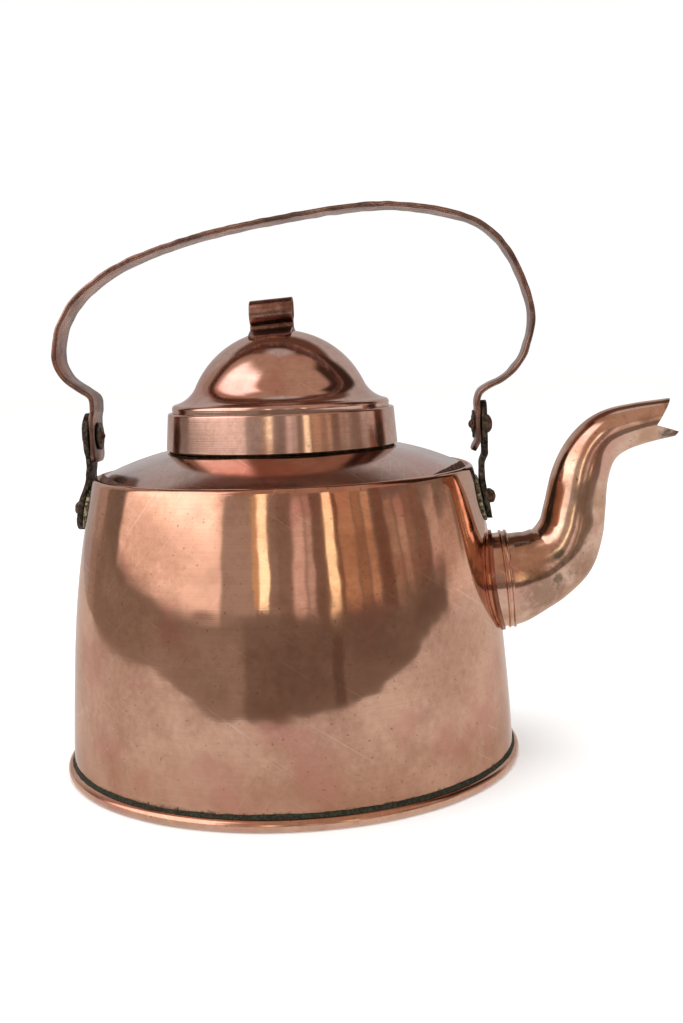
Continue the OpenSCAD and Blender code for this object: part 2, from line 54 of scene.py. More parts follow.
Point2 = tuple[float, float]
Tree = bpy.types.NodeTree
Piece = bpy.types.Object
Material = bpy.types.Material
Value = float | tuple[float, ...] | bpy.types.NodeSocket
# Turned sections keep this far from the axis, in millimetres, so that their middle merges
AXIS_R = 0.002


# Helpers ------------------------------------------------------------------------------------------


def linear(hex_value: str, strength: float = 1.0) -> tuple[float, float, float, float]:
    """Turn an sRGB hex colour into the linear colour that the nodes take.

    Args:
        hex_value: The colour as six hex digits.
        strength: A factor on the linear value.

    Returns:
        Red, green, blue and an alpha of one.
    """
    parts = [int(hex_value.lstrip("#")[i : i + 2], 16) / 255 for i in (0, 2, 4)]
    lin = [p / 12.92 if p <= 0.04045 else ((p + 0.055) / 1.055) ** 2.4 for p in parts]
    return (lin[0] * strength, lin[1] * strength, lin[2] * strength, 1.0)


def add_node(
    tree: Tree, kind: str, inputs: dict | None = None, **settings: object
) -> bpy.types.Node:
    """Add a node to a tree, with its settings and links.

    Args:
        tree: The shader or geometry tree.
        kind: The node's type name.
        inputs: Socket name or number to a value, or to the socket that it is linked from.
        **settings: The node's own properties.

    Returns:
        The new node.
    """
    node = tree.nodes.new(kind)
    for key, value in settings.items():
        setattr(node, key, value)
    for key, value in (inputs or {}).items():
        if isinstance(value, bpy.types.NodeSocket):
            tree.links.new(value, node.inputs[key])
        else:
            node.inputs[key].default_value = value
    return node


def mix(tree: Tree, share: Value, under: Value, over: Value) -> bpy.types.NodeSocket:
    """Mix two colours.

    Args:
        tree: The shader tree.
        share: The share of the second colour.
        under: The first colour.
        over: The second colour.

    Returns:
        The mixed colour.
    """
    return add_node(tree, "ShaderNodeMix", {0: share, 6: under, 7: over}, data_type="RGBA").outputs[2]


def remap(
    tree: Tree, value: Value, low: float, high: float, start: float, end: float, soft: bool = False
) -> bpy.types.NodeSocket:
    """Turn the range from low to high into the range from start to end, and hold it there.

    Args:
        tree: The shader tree.
        value: The value to map.
        low: The value that gives start.
        high: The value that gives end.
        start: The result at low.
        end: The result at high.
        soft: Whether both ends are eased.

    Returns:
        The mapped value.
    """
    ease = "SMOOTHSTEP" if soft else "LINEAR"
    values = {0: value, 1: low, 2: high, 3: start, 4: end}
    return add_node(tree, "ShaderNodeMapRange", values, interpolation_type=ease).outputs[0]


def maths(tree: Tree, operation: str, *values: Value) -> bpy.types.NodeSocket:
    """Do one sum in a tree.

    Args:
        tree: The shader or geometry tree.
        operation: The sum, as the Math node names it.
        *values: Its values, in order.

    Returns:
        The result.
    """
    return add_node(tree, "ShaderNodeMath", dict(enumerate(values)), operation=operation).outputs[0]


def clouds(
    tree: Tree, place: Value, scale: Value, detail: float, layer: Value | None = None, **more: float
) -> bpy.types.NodeSocket:
    """Add smooth noise to a tree.

    Args:
        tree: The shader or geometry tree.
        place: Where the noise is looked up.
        scale: Lumps to a metre.
        detail: How much finer noise is laid over it.
        layer: A fourth coordinate that picks another layer of the noise, or None.
        **more: Further values of the node, such as its Roughness.

    Returns:
        The noise, from 0 to 1.
    """
    values = {"Vector": place, "Scale": scale, "Detail": detail, **more}
    if layer is None:
        return add_node(tree, "ShaderNodeTexNoise", values).outputs["Fac"]
    return add_node(tree, "ShaderNodeTexNoise", {**values, "W": layer}, noise_dimensions="4D").outputs["Fac"]


def start_material(name: str, shift: Sequence[float]) -> tuple[Material, Value, Value]:
    """Start an empty material.

    Args:
        name: The material's name.
        shift: How far its noise is moved, in metres, so that no two finishes look alike.

    Returns:
        The material, the place on the piece, and that place moved by the shift.
    """
    material = bpy.data.materials.new(name)
    material.use_nodes = True
    tree = material.node_tree
    tree.nodes.clear()
    where = add_node(tree, "ShaderNodeTexCoord").outputs["Object"]
    moved = add_node(tree, "ShaderNodeMapping", {"Vector": where, "Location": tuple(shift)})
    return material, where, moved.outputs[0]


def finish_material(tree: Tree, inputs: dict[str, Value]) -> None:
    """Close a material with its shader.

    Args:
        tree: The material's tree.
        inputs: The shader's inputs, by name.
    """
    shader = add_node(tree, "ShaderNodeBsdfPrincipled", inputs)
    add_node(tree, "ShaderNodeOutputMaterial", {"Surface": shader.outputs[0]})


def smoothstep(low: float, high: float, value: float) -> float:
    """Ease from 0 to 1.

    Args:
        low: The value that gives 0.
        high: The value that gives 1.
        value: The value to ease.

    Returns:
        The share from 0 to 1.
    """
    t = min(1.0, max(0.0, (value - low) / (high - low)))
    return t * t * (3 - 2 * t)


def arc(cx: float, cy: float, r: float, start: float, end: float, steps: int) -> list[Point2]:
    """List the points of an arc.

    Args:
        cx: Its middle, across.
        cy: Its middle, up.
        r: Its radius.
        start: Its first angle, in degrees.
        end: Its last angle, in degrees.
        steps: Its number of steps.

    Returns:
        One point more than there are steps.
    """
    angles = [math.radians(start + (end - start) * i / steps) for i in range(steps + 1)]
    return [(cx + r * math.cos(a), cy + r * math.sin(a)) for a in angles]


def spline(knots: Sequence[Sequence[float]], steps: int) -> list[tuple[float, ...]]:
    """Run a smooth curve through knots; the first and the last only set the end directions.

    Args:
        knots: Points of any number of values.
        steps: Points to a span.

    Returns:
        The points of the curve.
    """
    out: list[tuple[float, ...]] = []
    for a, b, c, d in zip(knots, knots[1:], knots[2:], knots[3:]):
        for k in range(steps):
            t = k / steps
            out.append(
                tuple(
                    0.5
                    * (
                        2 * q
                        + (r - p) * t
                        + (2 * p - 5 * q + 4 * r - s) * t * t
                        + (3 * q - p - 3 * r + s) * t**3
                    )
                    for p, q, r, s in zip(a, b, c, d)
                )
            )
    out.append(tuple(knots[-2]))
    return out


def spread(
    points: Sequence[Sequence[float]], lengths: Sequence[float], count: int
) -> list[tuple[float, ...]]:
    """Spread points evenly along a polyline, keeping its ends.

    Args:
        points: The polyline's points.
        lengths: The length along it at each point.
        count: The number of steps.

    Returns:
        One point more than there are steps, with all the values that the polyline's points have.
    """
    out, j = [], 0
    for i in range(count + 1):
        want = lengths[-1] * i / count
        while j < len(points) - 2 and lengths[j + 1] < want:
            j += 1
        step = lengths[j + 1] - lengths[j]
        t = (want - lengths[j]) / step if step > 0 else 0.0
        out.append(tuple(a + (b - a) * t for a, b in zip(points[j], points[j + 1])))
    return out


def run_lengths(points: Sequence[Sequence[float]]) -> list[float]:
    """Measure a polyline.

    Args:
        points: Its points.

    Returns:
        The length along it at each point.
    """
    lengths = [0.0]
    for p, q in zip(points, points[1:]):
        lengths.append(lengths[-1] + math.dist(p, q))
    return lengths


def even(points: Sequence[Sequence[float]], spacing: float) -> list[tuple[float, ...]]:
    """Put points at an even spacing along a polyline, keeping its ends.

    Args:
        points: Points whose first two values are their place.
        spacing: The distance to aim for.

    Returns:
        The new points, with all their values.
    """
    lengths = run_lengths([p[:2] for p in points])
    return spread(points, lengths, max(2, round(lengths[-1] / spacing)))


def heading(path: Sequence[Sequence[float]], i: int) -> Vector:
    """Find the way that a flat path runs at one of its points.

    Args:
        path: Points whose first two values are their place.
        i: The point's number.

    Returns:
        The direction, with the second value upwards.
    """
    near, far = path[max(i - 1, 0)], path[min(i + 1, len(path) - 1)]
    return Vector((far[0] - near[0], 0.0, far[1] - near[1])).normalized()


def wobble(place: Vector, size: float, seed: float) -> float:
    """Give a smooth fixed value from about -1 to 1.

    Args:
        place: The place in millimetres.
        size: The size of the lumps in millimetres.
        seed: The place in the noise.

    Returns:
        The value.
    """
    looked_up = Vector((place.x / size + seed, place.y / size - seed, place.z / size + 2 * seed))
    return noise.noise(looked_up) * 1.6


def make_object(
    name: str, verts: Sequence[Sequence[float]], faces: Sequence[Sequence[int]]
) -> Piece:
    """Build a smooth closed mesh object from millimetres, with its faces turned outwards.

    Args:
        name: The object's name.
        verts: Points in millimetres.
        faces: Lists of point numbers.

    Returns:
        The object, linked to the scene.
    """
    mesh = bpy.data.meshes.new(name)
    mesh.from_pydata([[c * MM for c in v] for v in verts], [], [list(f) for f in faces])
    tidy_mesh(mesh)
    obj = bpy.data.objects.new(name, mesh)
    bpy.context.scene.collection.objects.link(obj)
    return obj


def tidy_mesh(mesh: bpy.types.Mesh, crease: float = 42.0) -> None:
    """Merge doubles, turn faces outwards and shade them smooth.

    Args:
        mesh: The mesh to change.
        crease: Edges that bend more than this, in degrees, stay sharp.
    """
    bm = bmesh.new()
    bm.from_mesh(mesh)
    bmesh.ops.remove_doubles(bm, verts=bm.verts, dist=1e-6)
    bmesh.ops.dissolve_degenerate(bm, edges=bm.edges, dist=1e-7)
    bmesh.ops.recalc_face_normals(bm, faces=bm.faces)
    if bm.calc_volume(signed=True) < 0:
        bmesh.ops.reverse_faces(bm, faces=bm.faces)
    for face in bm.faces:
        face.smooth = True
    for edge in bm.edges:
        edge.smooth = not (edge.is_manifold and edge.calc_face_angle(0.0) > math.radians(crease))
    bm.to_mesh(mesh)
    bm.free()


def plain_mesh(obj: Piece) -> Piece:
    """Turn an object's evaluated geometry into its own plain mesh and drop its modifiers.

    Args:
        obj: The object.

    Returns:
        The same object.
    """
    graph = bpy.context.evaluated_depsgraph_get()
    mesh = bpy.data.meshes.new_from_object(obj.evaluated_get(graph), depsgraph=graph)
    obj.modifiers.clear()
    old = obj.data
    obj.data = mesh
    mesh.name = obj.name
    bpy.data.meshes.remove(old)
    return obj


def run_tree(
    obj: Piece, tree: Tree, values: dict[str, object]
) -> Piece:
    """Run a geometry tree on an object and keep the result as a plain mesh.

    Args:
        obj: The object that the tree starts from.
        tree: The geometry tree.
        values: Input name to value; each is set by the socket's identifier.

    Returns:
        The same object, with a plain mesh.
    """
    modifier = obj.modifiers.new(tree.name, "NODES")
    modifier.node_group = tree
    for item in tree.interface.items_tree:
        if item.item_type == "SOCKET" and item.in_out == "INPUT" and item.name in values:
            modifier[item.identifier] = values[item.name]
    return plain_mesh(obj)


def dress(
    obj: Piece, material: Material, slot: str, body: str, *nodes: str
) -> Piece:
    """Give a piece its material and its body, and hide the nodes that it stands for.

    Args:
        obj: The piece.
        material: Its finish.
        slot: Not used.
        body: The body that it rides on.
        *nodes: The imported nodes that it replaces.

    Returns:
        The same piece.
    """
    if not obj.data.materials:
        obj.data.materials.append(material)
    obj.data.materials[0] = material
    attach(obj, body)
    if nodes:
        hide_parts(*nodes)
    LOG.info("%s: %d faces on %s", obj.name, len(obj.data.polygons), body)
    return obj


def dress_kept(node: str, material: Material) -> None:
    """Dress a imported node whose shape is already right.

    Args:
        node: The node's name.
        material: Its finish.
    """
    obj = bpy.data.objects[node]
    obj.data.materials.clear()
    obj.data.materials.append(material)
    LOG.info("%s keeps its packed shape", node)


def rounded_ring(half_w: float, half_t: float, corner: float, steps: int = 4) -> list[Point2]:
    """Outline a rounded rectangle.

    Args:
        half_w: Half its width.
        half_t: Half its thickness.
        corner: The radius of its corners.
        steps: The steps to a corner.

    Returns:
        Its points, as (across, through).
    """
    corner = min(corner, half_w * 0.98, half_t * 0.98)
    ring: list[Point2] = []
    for sx, sy, start in ((1, 1, 0), (-1, 1, 90), (-1, -1, 180), (1, -1, 270)):
        ring += arc(sx * (half_w - corner), sy * (half_t - corner), corner, start, start + 90, steps)
    return ring


def loft(rings: Sequence[Sequence[Vector]]) -> tuple[list[Vector], list[list[int]]]:
    """Join closed rings into a closed skin with flat ends.

    Args:
        rings: Rings with the same number of points each.

    Returns:
        The points, and the faces as lists of point numbers.
    """
    n = len(rings[0])
    verts = [v for ring in rings for v in ring]
    faces = [
        [i * n + k, i * n + (k + 1) % n, (i + 1) * n + (k + 1) % n, (i + 1) * n + k]
        for i in range(len(rings) - 1)
        for k in range(n)
    ]
    faces.append(list(range(n - 1, -1, -1)))
    faces.append([(len(rings) - 1) * n + k for k in range(n)])
    return verts, faces


# Geometry trees -----------------------------------------------------------------------------------


class Trees:
    """The geometry trees that the sub-assemblies share."""

    def __init__(self) -> None:
        """Build each tree once."""
        self.lathe = self._lathe()
        self.heads = self._heads()

    @staticmethod
    def _start(
        name: str, inputs: Sequence[tuple[str, str, object]]
    ) -> tuple[Tree, bpy.types.bpy_prop_collection]:
        """Open a geometry tree.

        Args:
            name: The tree's name.
            inputs: For each input its name, the last word of its socket type and its default.

        Returns:
            The tree and the sockets that its inputs come out of.
        """
        tree = bpy.data.node_groups.new(name, "GeometryNodeTree")
        tree.interface.new_socket("Geometry", in_out="INPUT", socket_type="NodeSocketGeometry")
        for label, kind, value in inputs:
            socket = tree.interface.new_socket(label, in_out="INPUT", socket_type=f"NodeSocket{kind}")
            if value is not None:
                socket.default_value = value
        tree.interface.new_socket("Geometry", in_out="OUTPUT", socket_type="NodeSocketGeometry")
        return tree, tree.nodes.new("NodeGroupInput").outputs

    @staticmethod
    def _lumps(tree: Tree, place: Value, size: Value, depth: Value, seed: Value, detail: float) -> Value:
        """Work out how far a surface is pushed by soft lumps.

        Args:
            tree: The geometry tree.
            place: The place on the surface.
            size: The size of the lumps.
            depth: The height from the deepest to the highest.
            seed: The place in the noise.
            detail: How much finer noise is laid over it.

        Returns:
            The distance, about zero on average.
        """
        lumps = clouds(tree, place, maths(tree, "DIVIDE", 1.0, size), detail, layer=seed)
        return maths(tree, "MULTIPLY", maths(tree, "ADD", lumps, -0.5), depth)

    @staticmethod
    def _finish(
        tree: Tree, geometry: Value, direction: Value, distance: Value, material: Value
    ) -> Tree:
        """Push the surface, and close a tree with Realize Instances and Set Material.

        Args:
            tree: The geometry tree.
            geometry: What it made.
            direction: The way that each point is pushed.
            distance: How far it is pushed.
            material: The finish.

        Returns:
            The tree.
        """
        push = add_node(tree, "ShaderNodeVectorMath", {0: direction, "Scale": distance}, operation="SCALE")
        moved = add_node(tree, "GeometryNodeSetPosition", {"Geometry": geometry, "Offset": push.outputs[0]})
        real = add_node(tree, "GeometryNodeRealizeInstances", {0: moved.outputs["Geometry"]})
        finish = {"Geometry": real.outputs[0], "Material": material}
        dressed = add_node(tree, "GeometryNodeSetMaterial", finish)
        add_node(tree, "NodeGroupOutput", {0: dressed.outputs[0]})
        return tree

    def _lathe(self) -> Tree:
        """Turn a half section about the upright axis, then dent it softly.

        Returns:
            The tree.
        """
        tree, given = self._start(
            "Turned sheet",
            (
                ("Segments", "Int", 256),
                ("Dent depth", "Float", 0.0),
                ("Dent size", "Float", 0.05),
                ("Seed", "Float", 0.0),
                ("Material", "Material", None),
            ),
        )
        section = add_node(tree, "GeometryNodeMeshToCurve", {"Mesh": given["Geometry"]})
        values = {"Resolution": given["Segments"], "Radius": 1e-6}
        circle = add_node(tree, "GeometryNodeCurvePrimitiveCircle", values)
        curves = {"Curve": circle.outputs["Curve"], "Profile Curve": section.outputs["Curve"]}
        skin = add_node(tree, "GeometryNodeCurveToMesh", curves)
        values = {"Geometry": skin.outputs["Mesh"], "Distance": 4e-6}
        joined = add_node(tree, "GeometryNodeMergeByDistance", values)
        place = add_node(tree, "GeometryNodeInputPosition").outputs["Position"]
        depth = self._lumps(tree, place, given["Dent size"], given["Dent depth"], given["Seed"], 1.0)
        parts = add_node(tree, "ShaderNodeSeparateXYZ", {0: place}).outputs
        flat = add_node(tree, "ShaderNodeCombineXYZ", {"X": parts["X"], "Y": parts["Y"]})
        outward = add_node(tree, "ShaderNodeVectorMath", {0: flat.outputs[0]}, operation="NORMALIZE")
        return self._finish(tree, joined.outputs["Geometry"], outward.outputs[0], depth, given["Material"])

    def _heads(self) -> Tree:
        """Set a hammered domed head on each point, turned as the point says.

        Returns:
            The tree.
        """
        tree, given = self._start(
            "Hammered heads",
            (
                ("Hammering", "Float", 0.0003),
                ("Facet size", "Float", 0.0025),
                ("Seed", "Float", 0.0),
                ("Material", "Material", None),
            ),
        )
        ball = add_node(tree, "GeometryNodeMeshUVSphere", {"Segments": 32, "Rings": 20, "Radius": 1.0})
        read, kind = "GeometryNodeInputNamedAttribute", "FLOAT_VECTOR"
        turn = add_node(tree, read, {"Name": "turn"}, data_type=kind).outputs[0]
        size = add_node(tree, read, {"Name": "size"}, data_type=kind).outputs[0]
        values = {
            "Points": given["Geometry"],
            "Instance": ball.outputs["Mesh"],
            "Rotation": add_node(tree, "FunctionNodeEulerToRotation", {0: turn}).outputs[0],
            "Scale": size,
        }
        copies = add_node(tree, "GeometryNodeInstanceOnPoints", values)
        real = add_node(tree, "GeometryNodeRealizeInstances", {0: copies.outputs[0]})
        place = add_node(tree, "GeometryNodeInputPosition").outputs[0]
        depth = self._lumps(tree, place, given["Facet size"], given["Hammering"], given["Seed"], 0.5)
        normal = add_node(tree, "GeometryNodeInputNormal").outputs[0]
        return self._finish(tree, real.outputs[0], normal, depth, given["Material"])

    def turn(
        self,
        name: str,
        section: Sequence[Point2],
        material: Material,
        segments: int = 320,
        dent: float = 0.0,
        dent_size: float = 50.0,
        seed: float = 0.0,
    ) -> Piece:
        """Make a turned piece.

        Args:
            name: The piece's name.
            section: The closed half section as (radius, height) in millimetres.
            material: The finish.
            segments: Steps around the axis.
            dent: Depth of the soft dents in millimetres.
            dent_size: Size of the dents in millimetres.
            seed: The place in the noise.

        Returns:
            The piece as a plain mesh object.
        """
        mesh = bpy.data.meshes.new(name)
        count = len(section)
        # The tree's section has its height pointing down
        points = [(max(r, AXIS_R) * MM, -z * MM, 0.0) for r, z in section]
        mesh.from_pydata(points, [(i, (i + 1) % count) for i in range(count)], [])
        obj = bpy.data.objects.new(name, mesh)
        bpy.context.scene.collection.objects.link(obj)
        run_tree(
            obj,
            self.lathe,
            {
                "Segments": segments,
                "Dent depth": dent * MM,
                "Dent size": dent_size * MM,
                "Seed": seed,
                "Material": material,
            },
        )
        tidy_mesh(obj.data)
        return obj

    def hammered(
        self,
        name: str,
        heads: Sequence[tuple[Vector, Vector, Vector]],
        material: Material,
        hammering: float = 0.5,
        seed: float = 0.0,
    ) -> Piece:
        """Make a set of hammered heads.

        Args:
            name: The piece's name.
            heads: For each head its place, its turn in radians and its three half sizes in millimetres.
            material: The finish.
            hammering: Depth of the hammer marks in millimetres.
            seed: The place in the noise.

        Returns:
            The heads as one plain mesh object.
        """
        mesh = bpy.data.meshes.new(name)
        mesh.from_pydata([tuple(p * MM) for p, _, _ in heads], [], [])
        for label, values in (("turn", [t for _, t, _ in heads]), ("size", [s * MM for _, _, s in heads])):
            attribute = mesh.attributes.new(label, "FLOAT_VECTOR", "POINT")
            for item, value in zip(attribute.data, values):
                item.vector = value
        obj = bpy.data.objects.new(name, mesh)
        bpy.context.scene.collection.objects.link(obj)
        run_tree(obj, self.heads, {"Hammering": hammering * MM, "Seed": seed, "Material": material})
        tidy_mesh(obj.data, 180.0)
        return obj


# Finishes -----------------------------------------------------------------------------------------


class Brush(Enum):
    """The way that a sheet was last rubbed."""

    AROUND = "around"
    LOOSE = "loose"


@dataclass(frozen=True)
class Spot:
    """A local stain: its place and radius in millimetres, its colour and its cover from 0 to 1."""

    place: tuple[float, float, float]
    radius: float
    colour: str
    cover: float = 0.8


@dataclass(frozen=True)
class WornCopper:
    """Hand-polished copper sheet that has begun to brown again.

    Copper gives a warm pink mirror. The thin oxide takes it to brown in soft clouds, rubbing leaves fine
    lines in one direction, and water leaves small dark specks.
    """

    name: str
    bright: str = "DFB39B"
    browned: str = "B38871"
    bloom: str = "C8867A"
    stain: str = "5A3628"
    roughness: float = 0.06
    cloud_mm: float = 42.0
    brown: float = 0.5
    specks: float = 0.5
    brush: Brush = Brush.AROUND
    brush_bump: float = 0.05
    ripple_mm: float = 0.05
    edge: str = "F2E8E2"
    # Colour of the painted shade in creases and folds, found by ambient occlusion; empty for none
    crease: str = ""
    spots: tuple[Spot, ...] = ()
    # Height of the deposit along the foot in millimetres; when set, the wall also gets painted shade towards
    # the foot
    foot_mm: float = 0.0
    seed: float = 0.0

    def build(self) -> Material:
        """Make the material.

        Returns:
            The material.
        """
        material, where, place = start_material(self.name, (self.seed * 0.37, self.seed * 0.61, 0.0))
        tree = material.node_tree
        broad = clouds(tree, place, 1 / (self.cloud_mm * MM), 5.0, Roughness=0.62)
        # Mottling of about 3 mm, where the oxide broke up as it was polished
        mottle = clouds(tree, place, 330.0, 4.0, Roughness=0.7)
        oxide = remap(tree, broad, 0.4, 0.64, 0.0, self.brown, soft=True)
        share = maths(tree, "ADD", oxide, remap(tree, mottle, 0.35, 0.7, -0.16, 0.24))
        colour = mix(tree, share, linear(self.bright), linear(self.browned))
        # Pink bloom in patches of about 30 mm, left by old polish
        pink = remap(tree, clouds(tree, place, 34.0, 3.0, layer=5.0), 0.52, 0.66, 0.0, 0.5, soft=True)
        colour = mix(tree, pink, colour, linear(self.bloom))
        lines = self._brush(tree, place)
        colour = mix(tree, remap(tree, lines, 0.3, 0.72, 0.0, 0.22), colour, linear(self.browned))
        # Specks of about 1 mm, and patches of about 26 mm where the sheet has dulled
        specks = remap(tree, clouds(tree, place, 620.0, 1.0), 0.7, 0.78, 0.0, self.specks)
        dull = remap(tree, clouds(tree, place, 38.0, 3.0, layer=3.0), 0.62, 0.74, 0.0, self.specks * 0.55)
        colour = mix(tree, maths(tree, "MAXIMUM", specks, dull), colour, linear(self.stain))
        colour = self._spotted(tree, where, mottle, self._scratched(tree, place, colour))
        # Painted shade: the colour darkens towards the crease colour where ambient occlusion finds other
        # surfaces within 3.5 mm, in folds and creases
        if self.crease:
            nodes = {"Distance": 0.0035}
            shelter = add_node(tree, "ShaderNodeAmbientOcclusion", nodes, samples=8, only_local=True)
            painted_crease_shade = remap(tree, shelter.outputs["AO"], 0.35, 0.85, 0.95, 0.0)
            colour = mix(tree, painted_crease_shade, colour, linear(self.crease))
        rough = remap(tree, share, 0.0, 1.0, self.roughness, self.roughness + 0.07)
        if self.foot_mm:
            height = add_node(tree, "ShaderNodeSeparateXYZ", {0: where}).outputs["Z"]
            # Painted shade: below about 34 mm the wall darkens to brown towards the foot, for the shadowed
            # floor near the kettle that the wall mirrors
            warm = maths(tree, "MULTIPLY", remap(tree, height, 0.006, 0.034, 0.55, 0.0), broad)
            colour = mix(tree, maths(tree, "MULTIPLY", warm, 1.8), colour, linear("A06A4C"))
            # The deposit along the foot has a ragged top
            top = self.foot_mm * MM
            ragged = maths(tree, "MULTIPLY_ADD", mottle, 0.006, height)
            deposit = remap(tree, ragged, top + 0.0032, top + 0.0048, 0.92, 0.0)
            colour = mix(tree, deposit, colour, linear("3A3C2C"))
            rough = maths(tree, "MULTIPLY_ADD", deposit, 0.45, rough)
        brushed = {"Height": lines, "Strength": self.brush_bump, "Distance": 0.0002}
        # Soft ripples of about 16 mm from the planishing hammer
        ripples = {
            "Height": clouds(tree, place, 62.0, 1.0),
            "Strength": 1.0,
            "Distance": self.ripple_mm * MM,
            "Normal": add_node(tree, "ShaderNodeBump", brushed).outputs[0],
        }
        inputs = {
            "Base Color": colour,
            "Metallic": 1.0,
            "Roughness": rough,
            "Specular Tint": linear(self.edge),
            "Normal": add_node(tree, "ShaderNodeBump", ripples).outputs[0],
        }
        finish_material(tree, inputs)
        return material

    def _brush(self, tree: Tree, place: Value) -> Value:
        """Draw rubbing lines about 0.7 mm apart; real ones are finer than the render can show.

        Args:
            tree: The material's tree.
            place: The place on the piece.

        Returns:
            The lines, from 0 to 1.
        """
        scale = {
            Brush.AROUND: (16.0, 16.0, 1400.0),
            Brush.LOOSE: (420.0, 160.0, 620.0),
        }[self.brush]
        stretched = add_node(tree, "ShaderNodeMapping", {"Vector": place, "Scale": scale}).outputs[0]
        return clouds(tree, stretched, 1.0, 3.0, Roughness=0.6)

    @staticmethod
    def _scratched(tree: Tree, place: Value, colour: Value) -> Value:
        """Lay fine light scratches over a colour, in two slanting directions.

        Args:
            tree: The material's tree.
            place: The place on the piece.
            colour: The colour under them.

        Returns:
            The scratched colour.
        """
        # About 40 mm long and 0.7 mm apart
        size = (0.04, 0.04, 0.0007)
        for slant, pale in ((0.62, 0.34), (-0.95, 0.24)):
            turned = {"Vector": place, "Rotation": (0.0, slant, 0.2), "Scale": size}
            along = add_node(tree, "ShaderNodeMapping", turned, vector_type="TEXTURE").outputs[0]
            marks = remap(tree, clouds(tree, along, 1.0, 1.0), 0.71, 0.77, 0.0, pale)
            colour = mix(tree, marks, colour, linear("F2D6C6"))
        return colour

    def _spotted(self, tree: Tree, where: Value, mottle: Value, colour: Value) -> Value:
        """Lay the local stains over a colour, each with a ragged edge.

        Args:
            tree: The material's tree.
            where: The place on the piece.
            mottle: The noise that makes the edges ragged.
            colour: The colour under them.

        Returns:
            The stained colour.
        """
        for spot in self.spots:
            ends = {0: where, 1: tuple(c * MM for c in spot.place)}
            away = add_node(tree, "ShaderNodeVectorMath", ends, operation="DISTANCE").outputs["Value"]
            r = spot.radius * MM
            ragged = maths(tree, "MULTIPLY_ADD", mottle, r * 1.6, away)
            cover = remap(tree, ragged, r * 1.35, r * 1.9, spot.cover, 0.0)
            colour = mix(tree, cover, colour, linear(spot.colour))
        return colour


@dataclass(frozen=True)
class OldMetal:
    """Dark, dirty metal in rough lumps: old solder, verdigris, or the unpolished ears and rivets.

    The dull skin scatters the light, and what sticks out is rubbed brighter.
    """

    name: str
    dark: str
    light: str
    grain_mm: float = 1.6
    light_share: float = 0.5
    metallic: float = 0.7
    roughness: float = 0.5
    bump: float = 0.5
    rub: str = ""
    seed: float = 0.0

    def build(self) -> Material:
        """Make the material.

        Returns:
            The material.
        """
        material, _, place = start_material(self.name, (0.0, self.seed, self.seed))
        tree = material.node_tree
        grain = clouds(tree, place, 1 / (self.grain_mm * MM), 4.0, Roughness=0.65)
        share = remap(tree, grain, 0.4, 0.72, 0.0, self.light_share, soft=True)
        colour = mix(tree, share, linear(self.dark), linear(self.light))
        if self.rub:
            pointed = add_node(tree, "ShaderNodeNewGeometry").outputs["Pointiness"]
            worn = maths(tree, "MULTIPLY", remap(tree, pointed, 0.52, 0.6, 0.0, 0.85), grain)
            colour = mix(tree, maths(tree, "MULTIPLY", worn, 1.7), colour, linear(self.rub))
        bumps = {"Height": grain, "Strength": self.bump, "Distance": 0.0006}
        inputs = {
            "Base Color": colour,
            "Metallic": self.metallic,
            "Roughness": remap(tree, share, 0.0, 1.0, self.roughness + 0.1, self.roughness - 0.12),
            "Normal": add_node(tree, "ShaderNodeBump", bumps).outputs[0],
        }
        finish_material(tree, inputs)
        return material


